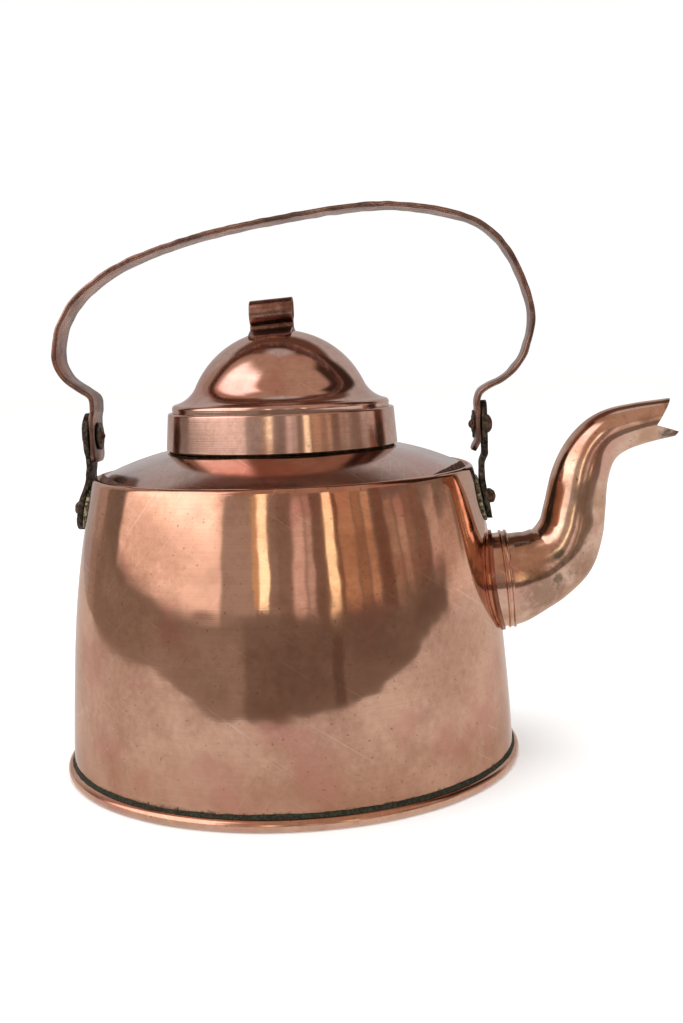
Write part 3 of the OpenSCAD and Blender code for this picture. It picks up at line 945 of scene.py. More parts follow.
class Finishes:
    """Every material of the kettle."""

    def __init__(self) -> None:
        """Build the materials once."""
        self.wall = WornCopper(
            "Copper wall, hand polished",
            cloud_mm=40,
            brown=0.6,
            foot_mm=5.7,
            specks=0.45,
            brush_bump=0.012,
            ripple_mm=0.16,
        ).build()
        self.shoulder = WornCopper(
            "Copper shoulder, dulled",
            bright="CFAA9B",
            browned="A08272",
            roughness=0.13,
            brown=0.6,
            specks=0.6,
            brush=Brush.LOOSE,
            edge="FFFFFF",
            seed=2.0,
        ).build()
        self.lid = WornCopper(
            "Copper lid, spun and polished",
            bright="E2BFB0",
            browned="B59080",
            roughness=0.12,
            brown=0.4,
            specks=0.25,
            brush_bump=0.06,
            seed=4.0,
        ).build()
        self.spout = WornCopper(
            "Copper spout, hand polished",
            bright="E6C4B0",
            browned="C79F85",
            roughness=0.12,
            cloud_mm=18,
            brown=0.95,
            specks=0.5,
            ripple_mm=0.12,
            brush=Brush.LOOSE,
            brush_bump=0.03,
            spots=(
                Spot((122, -14, 92), 4.2, "6E705C", 0.75),
                Spot((121, -16, 81), 3.0, "6E6A5A", 0.7),
                Spot((126, -14, 84), 2.5, "5C5A48", 0.7),
                Spot((178, -4, 157), 8.0, "4C4A3C", 0.85),
                Spot((176, -4, 142), 8.5, "4A403C", 0.85),
                Spot((105, -8, 99), 9.0, "6A5A48", 0.5),
                Spot((114, -12, 77), 13.0, "7C5742", 0.6),
                Spot((131, -9, 88), 10.0, "86604A", 0.5),
            ),
            seed=6.0,
        ).build()
        self.root = WornCopper(
            "Copper at the spout's root, brown",
            bright="B07860",
            browned="7A4C3A",
            roughness=0.22,
            brown=0.9,
            specks=0.8,
            brush=Brush.LOOSE,
            seed=7.0,
        ).build()
        self.base = WornCopper(
            "Copper base and rim", roughness=0.16, brown=0.4, brush=Brush.LOOSE, seed=8.0
        ).build()
        self.strap = WornCopper(
            "Copper strap, dull brown",
            bright="B08C80",
            browned="665550",
            bloom="A8705E",
            stain="33241F",
            roughness=0.26,
            cloud_mm=16,
            brown=0.8,
            specks=0.7,
            brush=Brush.LOOSE,
            brush_bump=0.25,
            seed=9.0,
        ).build()
        self.knob = WornCopper(
            "Copper knob, tarnished",
            bright="B0897C",
            browned="6B4A40",
            bloom="9A6250",
            stain="2A2018",
            roughness=0.26,
            cloud_mm=9,
            brown=0.8,
            specks=0.6,
            brush=Brush.AROUND,
            brush_bump=0.3,
            # Painted shade of this near-black colour in the knob's folds and creases
            crease="1C1610",
            seed=11.0,
        ).build()
        self.bead = self._old(
            "Old solder at the neck, olive", "2E2817", "756648", metallic=0.4, grain_mm=2.5, seed=0.2
        )
        self.ear = self._old(
            "Bronze ear, dark and pitted", "221D17", "6B6455", light_share=0.75, rub="8E7C62", seed=0.3
        )
        self.rivet = self._old(
            "Copper rivet, tarnished", "33231A", "8A5F49", light_share=0.8, rub="B98466", seed=0.5
        )
        self.patch = self._old(
            "Tinned patch, dull", "3C3A28", "D8D2B0", light_share=0.85, metallic=0.6, bump=0.25, seed=0.7
        )
        self.solder = self._old(
            "Old solder, dark brown", "3A2018", "94604A", metallic=0.35, roughness=0.5, bump=0.5, seed=0.9
        )
        self.verdigris = self._old(
            "Verdigris in the seam", "1E1E14", "4E5238", metallic=0.25, roughness=0.72, grain_mm=1.1, seed=1.1
        )
        self.iron = self._old("Iron rim wire", "2B2826", "5A5450", seed=1.3)

    @staticmethod
    def _old(name: str, dark: str, light: str, **more: float | str) -> Material:
        """Make an old metal.

        Args:
            name: The material's name.
            dark: The colour of its hollows.
            light: The colour of its lumps.
            **more: Further values of OldMetal.

        Returns:
            The material.
        """
        return OldMetal(name, dark, light, **more).build()



# Sub-assemblies -----------------------------------------------------------------------------------


@dataclass
class Body:
    """The wall, shoulder, base and seams of the kettle, in millimetres."""

    trees: Trees
    finishes: Finishes
    sheet: float = 1.2
    base_r: float = 103.7
    bead_r: float = 2.6
    overhang: float = 2.6
    wall_h: float = 130.5
    top_r: float = 85.8
    lean: float = 6.5
    lip_r: float = 2.6
    collar_r: float = 49.5
    shoulder_rise: float = 11.2
    crown: float = 1.4
    neck_bead_h: float = 0.8
    neck_bead_r: float = 51.0
    root_z: float = 79.0
    root_r: float = 21.4

    @property
    def bottom_r(self) -> float:
        """Radius of the wall at its foot."""
        return self.base_r - self.overhang

    @property
    def rim_c(self) -> float:
        """Radius of the middle of the rim bead."""
        return self.base_r - self.bead_r

    @property
    def foot_top(self) -> float:
        """Height where the foot's curve meets the wall."""
        return 2 * self.bead_r + 0.8

    @property
    def lip_lean(self) -> float:
        """Lean of the wall at its top, in degrees."""
        curve = self.bottom_r - self.top_r - self.lean
        return math.degrees(math.atan((self.lean + 3 * curve) / self.wall_h))

    @property
    def seam_r(self) -> float:
        """Radius of the seam of the shoulder."""
        return self.top_r - self.lip_r * math.cos(math.radians(self.lip_lean))

    @property
    def lip_z(self) -> float:
        """Height of the middle of the rolled top edge."""
        return self.wall_h - self.lip_r * math.sin(math.radians(self.lip_lean))

    @property
    def seam_z(self) -> float:
        """Height of the shoulder at its seam."""
        return self.lip_z + self.lip_r - self.sheet

    @property
    def neck_z(self) -> float:
        """Height of the shoulder at the neck."""
        return self.seam_z + self.shoulder_rise

    def wall_r(self, z: float) -> float:
        """Give the outer radius of the wall.

        Args:
            z: The height.

        Returns:
            The radius at that height.
        """
        curve = self.bottom_r - self.top_r - self.lean
        return self.bottom_r - self.lean * z / self.wall_h - curve * (z / self.wall_h) ** 3

    def shoulder_z(self, r: float) -> float:
        """Give the height of the top of the shoulder.

        Args:
            r: The radius.

        Returns:
            The height at that radius.
        """
        u = (self.seam_r - r) / (self.seam_r - self.collar_r)
        return self.seam_z + (self.neck_z - self.seam_z) * u + self.crown * 4 * u * (1 - u)

    def build(self) -> None:
        """Build and dress every piece of the body."""
        self._wall()
        self._base()
        self._shoulder()
        self._seams()
        self._kept_nodes()

    def _wall(self) -> None:
        """Turn the wall with its foot and its rolled top edge, and cut the spout's hole."""
        rows = 90
        top = self.foot_top

        def side(inset: float, rise: float) -> list[Point2]:
            """List the plain part of one skin, from the foot up.

            Args:
                inset: Its distance inside the outer skin.
                rise: How far above the foot it starts.

            Returns:
                Its points.
            """
            heights = [top + rise + (self.wall_h - top - rise) * i / rows for i in range(rows + 1)]
            return [(self.wall_r(z) - inset, z) for z in heights]

        edge_r = self.base_r - 2 * self.bead_r - 0.1
        outer = [(edge_r, self.sheet), *arc(self.rim_c, self.bead_r, self.bead_r + 0.1, 180, 124, 6)]
        outer += side(0.0, 0.0) + arc(self.seam_r, self.lip_z, self.lip_r, self.lip_lean + 8, 84, 12)
        outer += [(self.seam_r + 0.05, self.lip_z + self.lip_r - 0.35)]
        inner = [(edge_r - self.sheet, self.sheet)]
        inner += arc(self.rim_c, self.bead_r, self.bead_r + 0.1 + self.sheet, 180, 132, 6)
        inner += side(self.sheet, 0.6)
        inner += arc(self.seam_r, self.lip_z, self.lip_r - self.sheet, self.lip_lean + 8, 90, 8)
        wall = self.trees.turn(
            "wall", outer + inner[::-1], self.finishes.wall, segments=360, dent=1.1, dent_size=62, seed=1.7
        )
        self._drill(wall)
        dress(wall, self.finishes.wall, "body_copper", "kettle", "body_wall")

    def _drill(self, wall: Piece) -> None:
        """Cut the spout's hole, square to its tilted root.

        Args:
            wall: The wall.
        """
        middle = Vector((95.0, 0.0, self.root_z - 0.4))
        r, depth = self.root_r * MM, 50 * MM
        mesh = bpy.data.meshes.new("drill")
        bm = bmesh.new()
        bmesh.ops.create_cone(bm, cap_ends=True, segments=64, radius1=r, radius2=r, depth=depth)
        bmesh.ops.rotate(bm, verts=bm.verts, matrix=Matrix.Rotation(math.radians(85), 3, "Y"))
        bmesh.ops.translate(bm, verts=bm.verts, vec=middle * MM)
        bm.to_mesh(mesh)
        bm.free()
        tool = bpy.data.objects.new("drill", mesh)
        bpy.context.scene.collection.objects.link(tool)
        cut = wall.modifiers.new("hole", "BOOLEAN")
        cut.object, cut.operation, cut.solver = tool, "DIFFERENCE", "EXACT"
        plain_mesh(wall)
        bpy.data.objects.remove(tool)

    def _base(self) -> None:
        """Turn the base plate with the rolled bead around it."""
        section = [(0.0, 0.0), (self.rim_c - 6, 0.0)]
        section += arc(self.rim_c, self.bead_r, self.bead_r - 0.02, -90, 178, 30)
        section += [(self.base_r - 2 * self.bead_r + 0.02, self.sheet), (0.0, self.sheet)]
        base = self.trees.turn("base", section, self.finishes.base, dent=0.0)
        for vertex in base.data.vertices:
            place = vertex.co / MM
            out = math.hypot(place.x, place.y)
            if out > self.rim_c - 2:
                dip = 0.16 * (1 + wobble(place, 24, 3.1)) * smoothstep(self.rim_c - 2, self.rim_c, out)
                flat = Vector((place.x, place.y, 0)).normalized()
                vertex.co -= flat * dip * MM
                if place.z > self.bead_r:
                    vertex.co.z -= 0.5 * dip * MM
        dress(base, self.finishes.base, "body_copper", "kettle", "base_plate")

    def _shoulder(self) -> None:
        """Turn the shoulder plate."""
        radii = [self.collar_r + (self.seam_r - self.collar_r) * i / 40 for i in range(41)]
        top = [(r, self.shoulder_z(r)) for r in radii]
        out_r = self.seam_r + self.lip_r - self.sheet - 0.3
        section = top + [(out_r, self.seam_z - 0.6), (out_r, self.seam_z - 0.6 - self.sheet)]
        section += [(r, z - self.sheet) for r, z in top[::-1]]
        shoulder = self.trees.turn("shoulder", section, self.finishes.shoulder, segments=256)
        for vertex in shoulder.data.vertices:
            place = vertex.co / MM
            edge = smoothstep(self.seam_r, self.seam_r - 9, math.hypot(place.x, place.y))
            vertex.co.z += 0.22 * wobble(place, 30, 5.3) * edge * MM
        dress(shoulder, self.finishes.shoulder, "body_copper", "kettle", "shoulder_plate")

    def _seams(self) -> None:
        """Fill the grooves over the rim and at the neck, and heap the ears' solder."""
        foot, skin, dull = self.foot_top, self.wall_r(self.foot_top), self.finishes.verdigris
        groove = [(self.rim_c - 0.4, 2 * self.bead_r - 0.3), (self.rim_c + 0.6, 2 * self.bead_r - 0.1)]
        groove += [(skin + 0.45, foot + 0.1), (skin + 0.1, foot + 0.6), (skin - 0.2, foot + 1.0)]
        groove += [(skin - 0.5, foot + 0.8), (skin - 0.8, foot - 0.5)]
        fillet = self.trees.turn("rim_verdigris", groove, dull, dent=0.9, dent_size=6, seed=7.7)
        dress(fillet, dull, "verdigris", "kettle", "base_solder")
        half = self.neck_bead_h / 2
        mid_z = self.neck_z + half
        bead = arc(self.neck_bead_r - half, mid_z, half - 0.02, 75, -75, 8)
        bead += [(self.neck_bead_r - half, self.neck_z + 0.1), (self.collar_r, self.neck_z + 0.1)]
        bead += [(self.collar_r, self.neck_z + self.neck_bead_h - 0.03)]
        ring = self.trees.turn("neck_bead_dark", bead, self.finishes.bead, dent=0.35, dent_size=5, seed=2.2)
        dress(ring, self.finishes.bead, "verdigris", "kettle", "neck_bead")
        self._heap("left", 184.0, 223.0, 199.0, -1)
        self._heap("right", 322.0, 356.5, 349.0, 1)

    def _heap(self, name: str, start: float, end: float, peak: float, side: int) -> None:
        """Heap solder on the shoulder seam, over an arc.

        Args:
            name: The side's name.
            start: The angle where the arc starts, in degrees from the spout.
            end: The angle where it ends.
            peak: The angle where the heap is highest.
            side: 1 towards the spout, -1 away from it.
        """
        steps, across = 56, 10
        rings: list[list[Vector]] = []
        for i in range(steps + 1):
            angle = start + (end - start) * i / steps
            low = min(abs(angle - start) / abs(peak - start), 1.0) if angle < peak else 1.0
            high = min(abs(end - angle) / abs(end - peak), 1.0) if angle >= peak else 1.0
            full = math.sin(math.pi / 2 * min(low, high)) ** 0.8
            # The left heap was broken off short at its far end
            if side < 0:
                full = max(full, 0.45 * smoothstep(0.0, 0.05, (end - angle) / (end - start)))
            height, width = 2.5 * full + 0.05, 2.2 * full**0.6 + 0.25
            ring = []
            for k in range(across):
                turn = 2 * math.pi * k / across
                r = self.seam_r - 0.15 - width * 0.5 * (1 - math.cos(turn))
                up = height * (0.5 - 0.5 * math.cos(turn - 0.5)) if math.sin(turn) > -0.2 else 0.0
                z = max(self.shoulder_z(min(r, self.seam_r)), self.seam_z) - 0.25 + up
                bump = 0.25 * wobble(Vector((r, angle * 1.4, z)), 3.0, 4.4)
                a = math.radians(angle)
                ring.append(Vector((r * math.cos(a), r * math.sin(a), z + bump * full)))
            rings.append(ring)
        heap = make_object(f"seam_solder_lump_{name}", *loft(rings))
        dress(heap, self.finishes.solder, "solder", "kettle", f"seam_solder_{name}")

    def _kept_nodes(self) -> None:
        """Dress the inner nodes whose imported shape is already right."""
        dress_kept("rim_wire", self.finishes.iron)
        dress_kept("neck_collar", self.finishes.shoulder)
        for name in ("left", "right"):
            dress_kept(f"rove_{name}", self.finishes.rivet)
            dress_kept(f"patch_{name}", self.finishes.patch)


@dataclass
class Lid:
    """The lid with its band, its dome and its folded knob, in millimetres."""

    trees: Trees
    finishes: Finishes
    seat_z: float = 143.264
    sheet: float = 1.0
    top_r: float = 50.9
    bottom_r: float = 52.1
    band_h: float = 16.2
    corner_r: float = 1.0
    ledge: float = 2.0
    foot_roll: float = 1.9
    dome_r: float = 41.8
    dome_rise: float = 35.4
    cove_rise: float = 3.3
    cove_reach: float = 1.5
    knob_w: float = 19.4
    knob_t: float = 1.3
    loop_r: float = 5.5
    fold_r: float = 2.7
    foot_reach: float = 15.5
    knob_x: float = -2.5
    knob_tilt: float = 4.0

    @property
    def band_z(self) -> float:
        """Height of the top of the band."""
        return self.seat_z + self.band_h

    @property
    def dome_cz(self) -> float:
        """Height of the dome's centre."""
        return self.band_z + self.dome_rise - self.dome_r

    def build(self) -> None:
        """Build and dress every piece of the lid."""
        self._band()
        self._dome()
        self._knob()

    def _band(self) -> None:
        """Turn the band with its rounded top corner and the narrow ledge."""
        c, top, drop, rows = self.corner_r, self.band_z, self.seat_z, 14
        flare, side_h = self.bottom_r - self.top_r, top - c - drop
        section = [(self.bottom_r - flare * i / rows, drop + side_h * i / rows) for i in range(rows)]
        inner_r = self.top_r - self.ledge - 4
        section += [*arc(self.top_r - c, top - c, c, 0, 90, 7), (self.top_r - self.ledge - 0.4, top - 0.12)]
        section += [(inner_r, top), (inner_r, top - self.sheet), (self.top_r - self.sheet, top - self.sheet)]
        section += [(self.bottom_r - self.sheet, drop), (self.bottom_r - self.sheet * 0.5, drop - 0.02)]
        band = self.trees.turn(
            "lid_band_sheet", section, self.finishes.lid, segments=360, dent=0.35, dent_size=30, seed=4.1
        )
        dress(band, self.finishes.lid, "lid_copper", "lid", "lid_band")

    def _dome(self) -> None:
        """Turn the dome with its cove and its rolled foot."""
        foot_r = self.top_r - self.ledge
        cove_x = foot_r + self.cove_reach
        cove_h = self.band_z + self.cove_rise - self.dome_cz
        cove_r = (cove_x**2 + cove_h**2 - self.dome_r**2) / (2 * (self.dome_r - cove_h))
        cove_z = self.dome_cz + cove_h + cove_r
        roll_x = foot_r - self.foot_roll
        roll_z = cove_z - math.sqrt((cove_r + self.foot_roll) ** 2 - (cove_x - roll_x) ** 2)
        join = math.degrees(math.asin((cove_z - self.dome_cz) / (self.dome_r + cove_r)))
        roll = math.degrees(math.atan2(cove_z - roll_z, cove_x - roll_x))

        def skin(inset: float) -> list[Point2]:
            """List one skin of the dome, from its top to its foot.

            Args:
                inset: Its distance inside the outer skin.

            Returns:
                Its points.
            """
            line = arc(0.0, self.dome_cz, self.dome_r - inset, 90, join, 48)
            line += arc(cove_x, cove_z, cove_r + inset, 180 + join, 180 + roll, 14)
            line += arc(roll_x, roll_z, self.foot_roll - inset, roll, -20, 10)
            return [*line, (foot_r - inset - 0.1, self.band_z)]

        section = skin(0.0) + skin(self.sheet)[::-1]
        dome = self.trees.turn(
            "lid_dome_sheet", section, self.finishes.lid, segments=320, dent=0.5, dent_size=34, seed=6.4
        )
        dress(dome, self.finishes.lid, "lid_copper", "lid", "lid_dome")

    def _knob(self) -> None:
        """Fold a strip into an open loop over a small fold, with two feet bent to the dome."""
        base = self.dome_cz + self.dome_r
        half_t = self.knob_t / 2
        fold_z = base + self.fold_r - self.knob_t
        loop_z = fold_z + self.fold_r + self.loop_r - self.knob_t
        mid_loop, mid_fold = self.loop_r - half_t, self.fold_r - half_t
        reach = self.foot_reach

        def dome_z(y: float) -> float:
            """Give the height of the middle of the strip on the dome.

            Args:
                y: The distance in front of the axis or behind it.

            Returns:
                The height.
            """
            return self.dome_cz + math.sqrt((self.dome_r + half_t) ** 2 - y * y)

        front: list[Point2] = [(-y, dome_z(y)) for y in (reach + 1.0, reach, reach * 0.6)]
        front += [(-3.4, dome_z(3.4) + 0.3), (-1.0, fold_z - mid_fold * 0.75)]
        front += [(-mid_fold, fold_z), (-0.75, fold_z + mid_fold + 0.15)]
        loop = arc(0.0, loop_z, mid_loop, -100, -440, 14)
        back = [(-y, z) for y, z in front[::-1]]
        knots = front + loop + back
        spacing = 0.55
        path = even(spline(knots, 6), spacing)
        tilt = math.radians(self.knob_tilt)
        rings = []
        for i, (y, z) in enumerate(path):
            along = heading(path, i)
            through = Vector((0.0, -along.z, along.x))
            end = min(i, len(path) - 1 - i) * spacing
            half_w = self.knob_w / 2 - 2.2 * (1 - smoothstep(0.0, 4.5, end)) ** 2
            foot = smoothstep(base + 3.4, base - 0.4, z)
            ring = []
            for across, depth in rounded_ring(half_w, half_t, 0.45):
                place = Vector((across, y, z)) + through * depth
                place.z += 0.08 * wobble(place, 6.0, 8.8)
                turned = Vector((place.x * math.cos(tilt), place.y, place.z + place.x * math.sin(tilt)))
                sag = (place.x + self.knob_x) ** 2 / (2 * self.dome_r)
                bent = Vector((place.x, place.y, place.z - sag))
                mixed = turned.lerp(bent, foot)
                ring.append(mixed + Vector((self.knob_x, 0, 0)))
            rings.append(ring)
        knob = make_object("lid_knob_strip", *loft(rings))
        dress(knob, self.finishes.knob, "dark_copper", "lid", "lid_knob")


@dataclass
class Spout:
    """The swan-neck spout with its stub and ring, in millimetres."""

    trees: Trees
    finishes: Finishes
    ring_x: float = 100.013
    root_z: float = 79.0
    root_r: float = 21.4
    tip_r: float = 8.4
    sheet: float = 1.2
    root_tilt: float = 5.0
    ring_w: float = 3.6
    ring_h: float = 1.1
    lead: float = 8.0
    notch_back: float = 13.0
    notch_drop: float = 2.0
    upper_cut: float = 58.0
    lower_cut: float = 16.0
    lower_lip_back: float = 2.5
    route: tuple[tuple[float, float, float], ...] = (
        (0, 0, 1),
        (9, 2.6, 0.84),
        (17, 6.2, 0.71),
        (24, 12, 0.61),
        (28.6, 21, 0.5),
        (30.5, 30.6, 0.42),
        (33, 44.5, 0.34),
        (36.8, 54.8, 0.26),
        (42.5, 61.8, 0.18),
        (50, 66.1, 0.13),
        (60, 68.7, 0.07),
        (70, 70.4, 0.03),
        (79, 71.5, 0),
    )

    def build(self) -> None:
        """Build and dress every piece of the spout."""
        self._tube()
        self._root()

    def _frames(self) -> list[tuple[Vector, Vector, float]]:
        """Follow the spout's middle line from inside the wall to the mouth.

        Returns:
            For each step its middle, its up direction and its radius.
        """
        tilt = math.radians(self.root_tilt)
        start = (-self.lead * math.cos(tilt), -self.lead * math.sin(tilt), 1.0)
        end = self.route[-1]
        knots = [start, *self.route, (end[0] + 9, end[1] + 1.1, 0.0)]
        path = even(spline(knots, 14), 0.9)
        out = []
        for i, (x, z, share) in enumerate(path):
            along = heading(path, i) if i else Vector((math.cos(tilt), 0.0, math.sin(tilt)))
            up = Vector((-along.z, 0.0, along.x))
            radius = self.tip_r + (self.root_r - self.tip_r) * share
            out.append((Vector((self.ring_x + x, 0.0, self.root_z + z)), up, radius))
        return out

    def _cut_away(self, place: Vector) -> bool:
        """Tell whether the mouth's notch takes a place away.

        Args:
            place: The place in millimetres.

        Returns:
            Whether it is cut off.
        """
        end = self.route[-1]
        x = place.x - (self.ring_x + end[0] - self.notch_back)
        z = place.z - (self.root_z + end[1] - self.notch_back / 8 - self.notch_drop)
        upper = z <= x * math.tan(math.radians(self.upper_cut))
        lower = z >= -x * math.tan(math.radians(self.lower_cut))
        # The lower lip ends short, blunter towards its underside
        past_lip = z < 0 and x > self.notch_back - self.lower_lip_back + min(0.0, 0.5 * (z + 2.6))
        return past_lip or (x > 0 and upper and lower)

    def _tube(self) -> None:
        """Sweep the tube and trim each of its lines at the notch of the mouth."""
        frames = self._frames()
        sides = 96
        # The points of a line that are spread again after it is trimmed
        free = 34

        def line(angle: float, inset: float) -> list[Vector]:
            """Follow one line of the tube's skin.

            Args:
                angle: Its place around the tube, from the top.
                inset: Its distance inside the outer skin.

            Returns:
                Its points.
            """
            out = []
            for middle, up, radius in frames:
                outward = up * math.cos(angle) + Vector((0, math.sin(angle), 0))
                place = middle + outward * (radius - inset)
                ends = smoothstep(102, 116, place.x) * smoothstep(178, 160, place.x)
                out.append(place + outward * (0.3 * wobble(place, 17.0, 2.9) * ends))
            return out

        def trimmed(points: list[Vector]) -> list[Vector]:
            """End a line where the notch begins.

            Args:
                points: The line.

            Returns:
                As many points, the last ones spread evenly up to the notch.
            """
            last = next((i for i, p in enumerate(points) if self._cut_away(p)), len(points) - 1)
            end = points[last]
            if self._cut_away(end):
                low, high = points[last - 1], end
                for _ in range(20):
                    mid = (low + high) / 2
                    low, high = (low, mid) if self._cut_away(mid) else (mid, high)
                end = low
            keep = len(points) - free
            tail = points[keep:last] + [end] if last > keep else [points[keep], end]
            return points[:keep] + [Vector(p) for p in spread(tail, run_lengths(tail), free - 1)]

        verts: list[Vector] = []
        for inset in (0.0, self.sheet * 0.8):
            for k in range(sides):
                verts += trimmed(line(2 * math.pi * k / sides, inset))
        n = len(verts) // (2 * sides)
        half = n * sides
        faces = []
        for k in range(sides):
            a, b = k * n, ((k + 1) % sides) * n
            for i in range(n - 1):
                faces.append([a + i, a + i + 1, b + i + 1, b + i])
                faces.append([half + a + i, half + b + i, half + b + i + 1, half + a + i + 1])
            faces.append([a, b, half + b, half + a])
            faces.append([a + n - 1, half + a + n - 1, half + b + n - 1, b + n - 1])
        tube = make_object("spout_neck", verts, faces)
        dress(tube, self.finishes.spout, "spout_copper", "kettle", "spout_tube")

    def _root(self) -> None:
        """Turn the ring over the joint, and dress the stub and its seam of solder."""
        half, r = self.ring_w / 2, self.root_r
        top, mid, bead = r + self.ring_h * 0.6, r + self.ring_h * 0.55, self.ring_h * 0.42
        ridge = [(r, -half), (top, -half), *arc(mid, -half * 0.6, bead, -60, 100, 6)]
        ridge += [(r + self.ring_h * 0.35, 0.0)]
        ridge += [*arc(mid, half * 0.6, bead, -100, 60, 6), (top, half), (r, half)]
        ring = self.trees.turn("spout_ring_bead", ridge, self.finishes.spout, segments=128)
        tilt = Matrix.Rotation(math.radians(90 - self.root_tilt), 4, "Y")
        ring.data.transform(Matrix.Translation(Vector((self.ring_x, 0, self.root_z)) * MM) @ tilt)
        tidy_mesh(ring.data)
        dress(ring, self.finishes.spout, "spout_copper", "kettle", "spout_ring")
        dress_kept("spout_stub", self.finishes.spout)
        dress_kept("stub_solder", self.finishes.root)


@dataclass
class Hinges:
    """The two ears with their rivets, pins and washers, in millimetres."""

    trees: Trees
    finishes: Finishes
    body: Body
    ear_t: float = 2.5
    pin_z: float = 149.864
    eye_r: float = 10.6
    waist_half: float = 6.0
    leaf_r: float = 9.8
    leaf_z: float = 116.9
    tail_reach: float = 13.77
    washer_r: float = 6.3
    washer_t: float = 1.0
    strap_t: float = 2.3
    side_gap: float = 0.3

    def build(self) -> None:
        """Build and dress both ears and what holds them."""
        for side, name, out, waist, patch in ((-1, "left", 0.9, 1.5, 2.2), (1, "right", 3.9, 2.6, 0.8)):
            self._ear(side, name, self.body.top_r + out, self.body.top_r + waist, patch)
            self._pins(side, name, self.body.top_r + out, patch)

    def _half_width(self, z: float) -> float:
        """Give half the width of an ear, with soft corners at its waist.

        Args:
            z: The height.

        Returns:
            Half the width at that height.
        """
        eye = math.sqrt(max(self.eye_r**2 - (z - self.pin_z) ** 2, 0.0))
        leaf = math.sqrt(max(self.leaf_r**2 - (z - self.leaf_z) ** 2, 0.0))
        mid = self.waist_half if self.leaf_z < z < self.pin_z else 0.0
        wide, next_wide, _ = sorted((eye, leaf, mid), reverse=True)
        # Where two outlines come within this, their corner is filled out
        near = 3.0
        if wide - next_wide > near or next_wide == 0.0:
            return wide
        return wide + 0.035 * (near - wide + next_wide) ** 2

    def _ear(self, side: int, name: str, face: float, waist: float, patch: float) -> None:
        """Loft an ear from its leaf to its eye along its bent side.

        Args:
            side: 1 towards the spout, -1 away from it.
            name: The side's name.
            face: Distance of the eye's inner face from the axis.
            waist: Distance of the waist's inner face from the axis.
            patch: Thickness of the patch under the leaf.
        """
        top_leaf = self.leaf_z + self.leaf_r * 0.8
        low = self.leaf_z - self.leaf_r
        lip_top = self.body.lip_z + self.body.lip_r
        line = [
            (self.body.wall_r(low) + patch + 0.1, low - 1.0),
            (self.body.wall_r(top_leaf) + patch + 0.2, top_leaf),
            (waist, self.body.wall_h),
            (waist, lip_top + 1.2),
            (face, self.pin_z - self.tail_reach - 0.1),
            (face, self.pin_z + self.eye_r + 1),
        ]

        def inner_x(z: float) -> float:
            """Give the distance of the ear's inner face from the axis.

            Args:
                z: The height.

            Returns:
                The distance at that height.
            """
            for (x0, z0), (x1, z1) in zip(line, line[1:]):
                if z <= z1:
                    return x0 + (x1 - x0) * (z - z0) / (z1 - z0)
            return line[-1][0]

        bottom, top = low + 0.05, self.pin_z + self.eye_r - 0.05
        rows = 110
        shares = [0.5 - 0.5 * math.cos(math.pi * i / rows) for i in range(rows + 1)]
        heights = [bottom + (top - bottom) * share for share in shares]
        rings = []
        for z in heights:
            half_w = max(self._half_width(z), 0.4)
            smooth_x = sum(inner_x(z + d) for d in (-1.2, -0.6, 0.0, 0.6, 1.2)) / 5
            if abs(z - self.pin_z) < self.tail_reach:
                smooth_x = max(smooth_x, face)
            ring = []
            for across, depth in rounded_ring(half_w, self.ear_t / 2, 0.6, 3):
                spread = across / half_w
                place = Vector((smooth_x + self.ear_t / 2 + depth, spread * half_w, z))
                marks = 0.22 * wobble(place, 5.5, 3.3 + side)
                if depth > 0:
                    place.x += marks
                place.y += 0.25 * wobble(place, 7.0, 6.1 + side) * spread
                ring.append(Vector((side * place.x, place.y, place.z)))
            rings.append(ring)
        ear = make_object(f"ear_plate_{name}", *loft(rings))
        dress(ear, self.finishes.ear, "ear_metal", "kettle", f"ear_{name}")

    def _pins(self, side: int, name: str, face: float, patch: float) -> None:
        """Set the hammered heads, the washer and the shank of each pin.

        Args:
            side: 1 towards the spout, -1 away from it.
            name: The side's name.
            face: Distance of the ear's inner face from the axis.
            patch: Thickness of the patch under the ear's leaf.
        """
        low_r, high_r = (self.body.wall_r(self.leaf_z + z) for z in (-self.leaf_r, self.leaf_r))
        slope = math.atan((low_r - high_r) / (2 * self.leaf_r))
        inner_end = face - 2 * self.side_gap - self.strap_t - self.washer_t
        out = self.body.wall_r(self.leaf_z) + patch + 0.1 + self.ear_t * math.cos(slope)
        turn = Vector((0.0, side * slope, 0.0))
        rivet_place = Vector((side * (out + 0.5), 0.0, self.leaf_z + 0.3))
        heads = [(rivet_place, -turn, Vector((2.9, 3.4, 3.4)))]
        rivet = self.trees.hammered(f"lower_rivet_head_{name}", heads, self.finishes.rivet, 0.9, 2.0 + side)
        dress(rivet, self.finishes.rivet, "rivet_copper", "kettle", f"lower_rivet_{name}")
        outer_end = face + self.ear_t
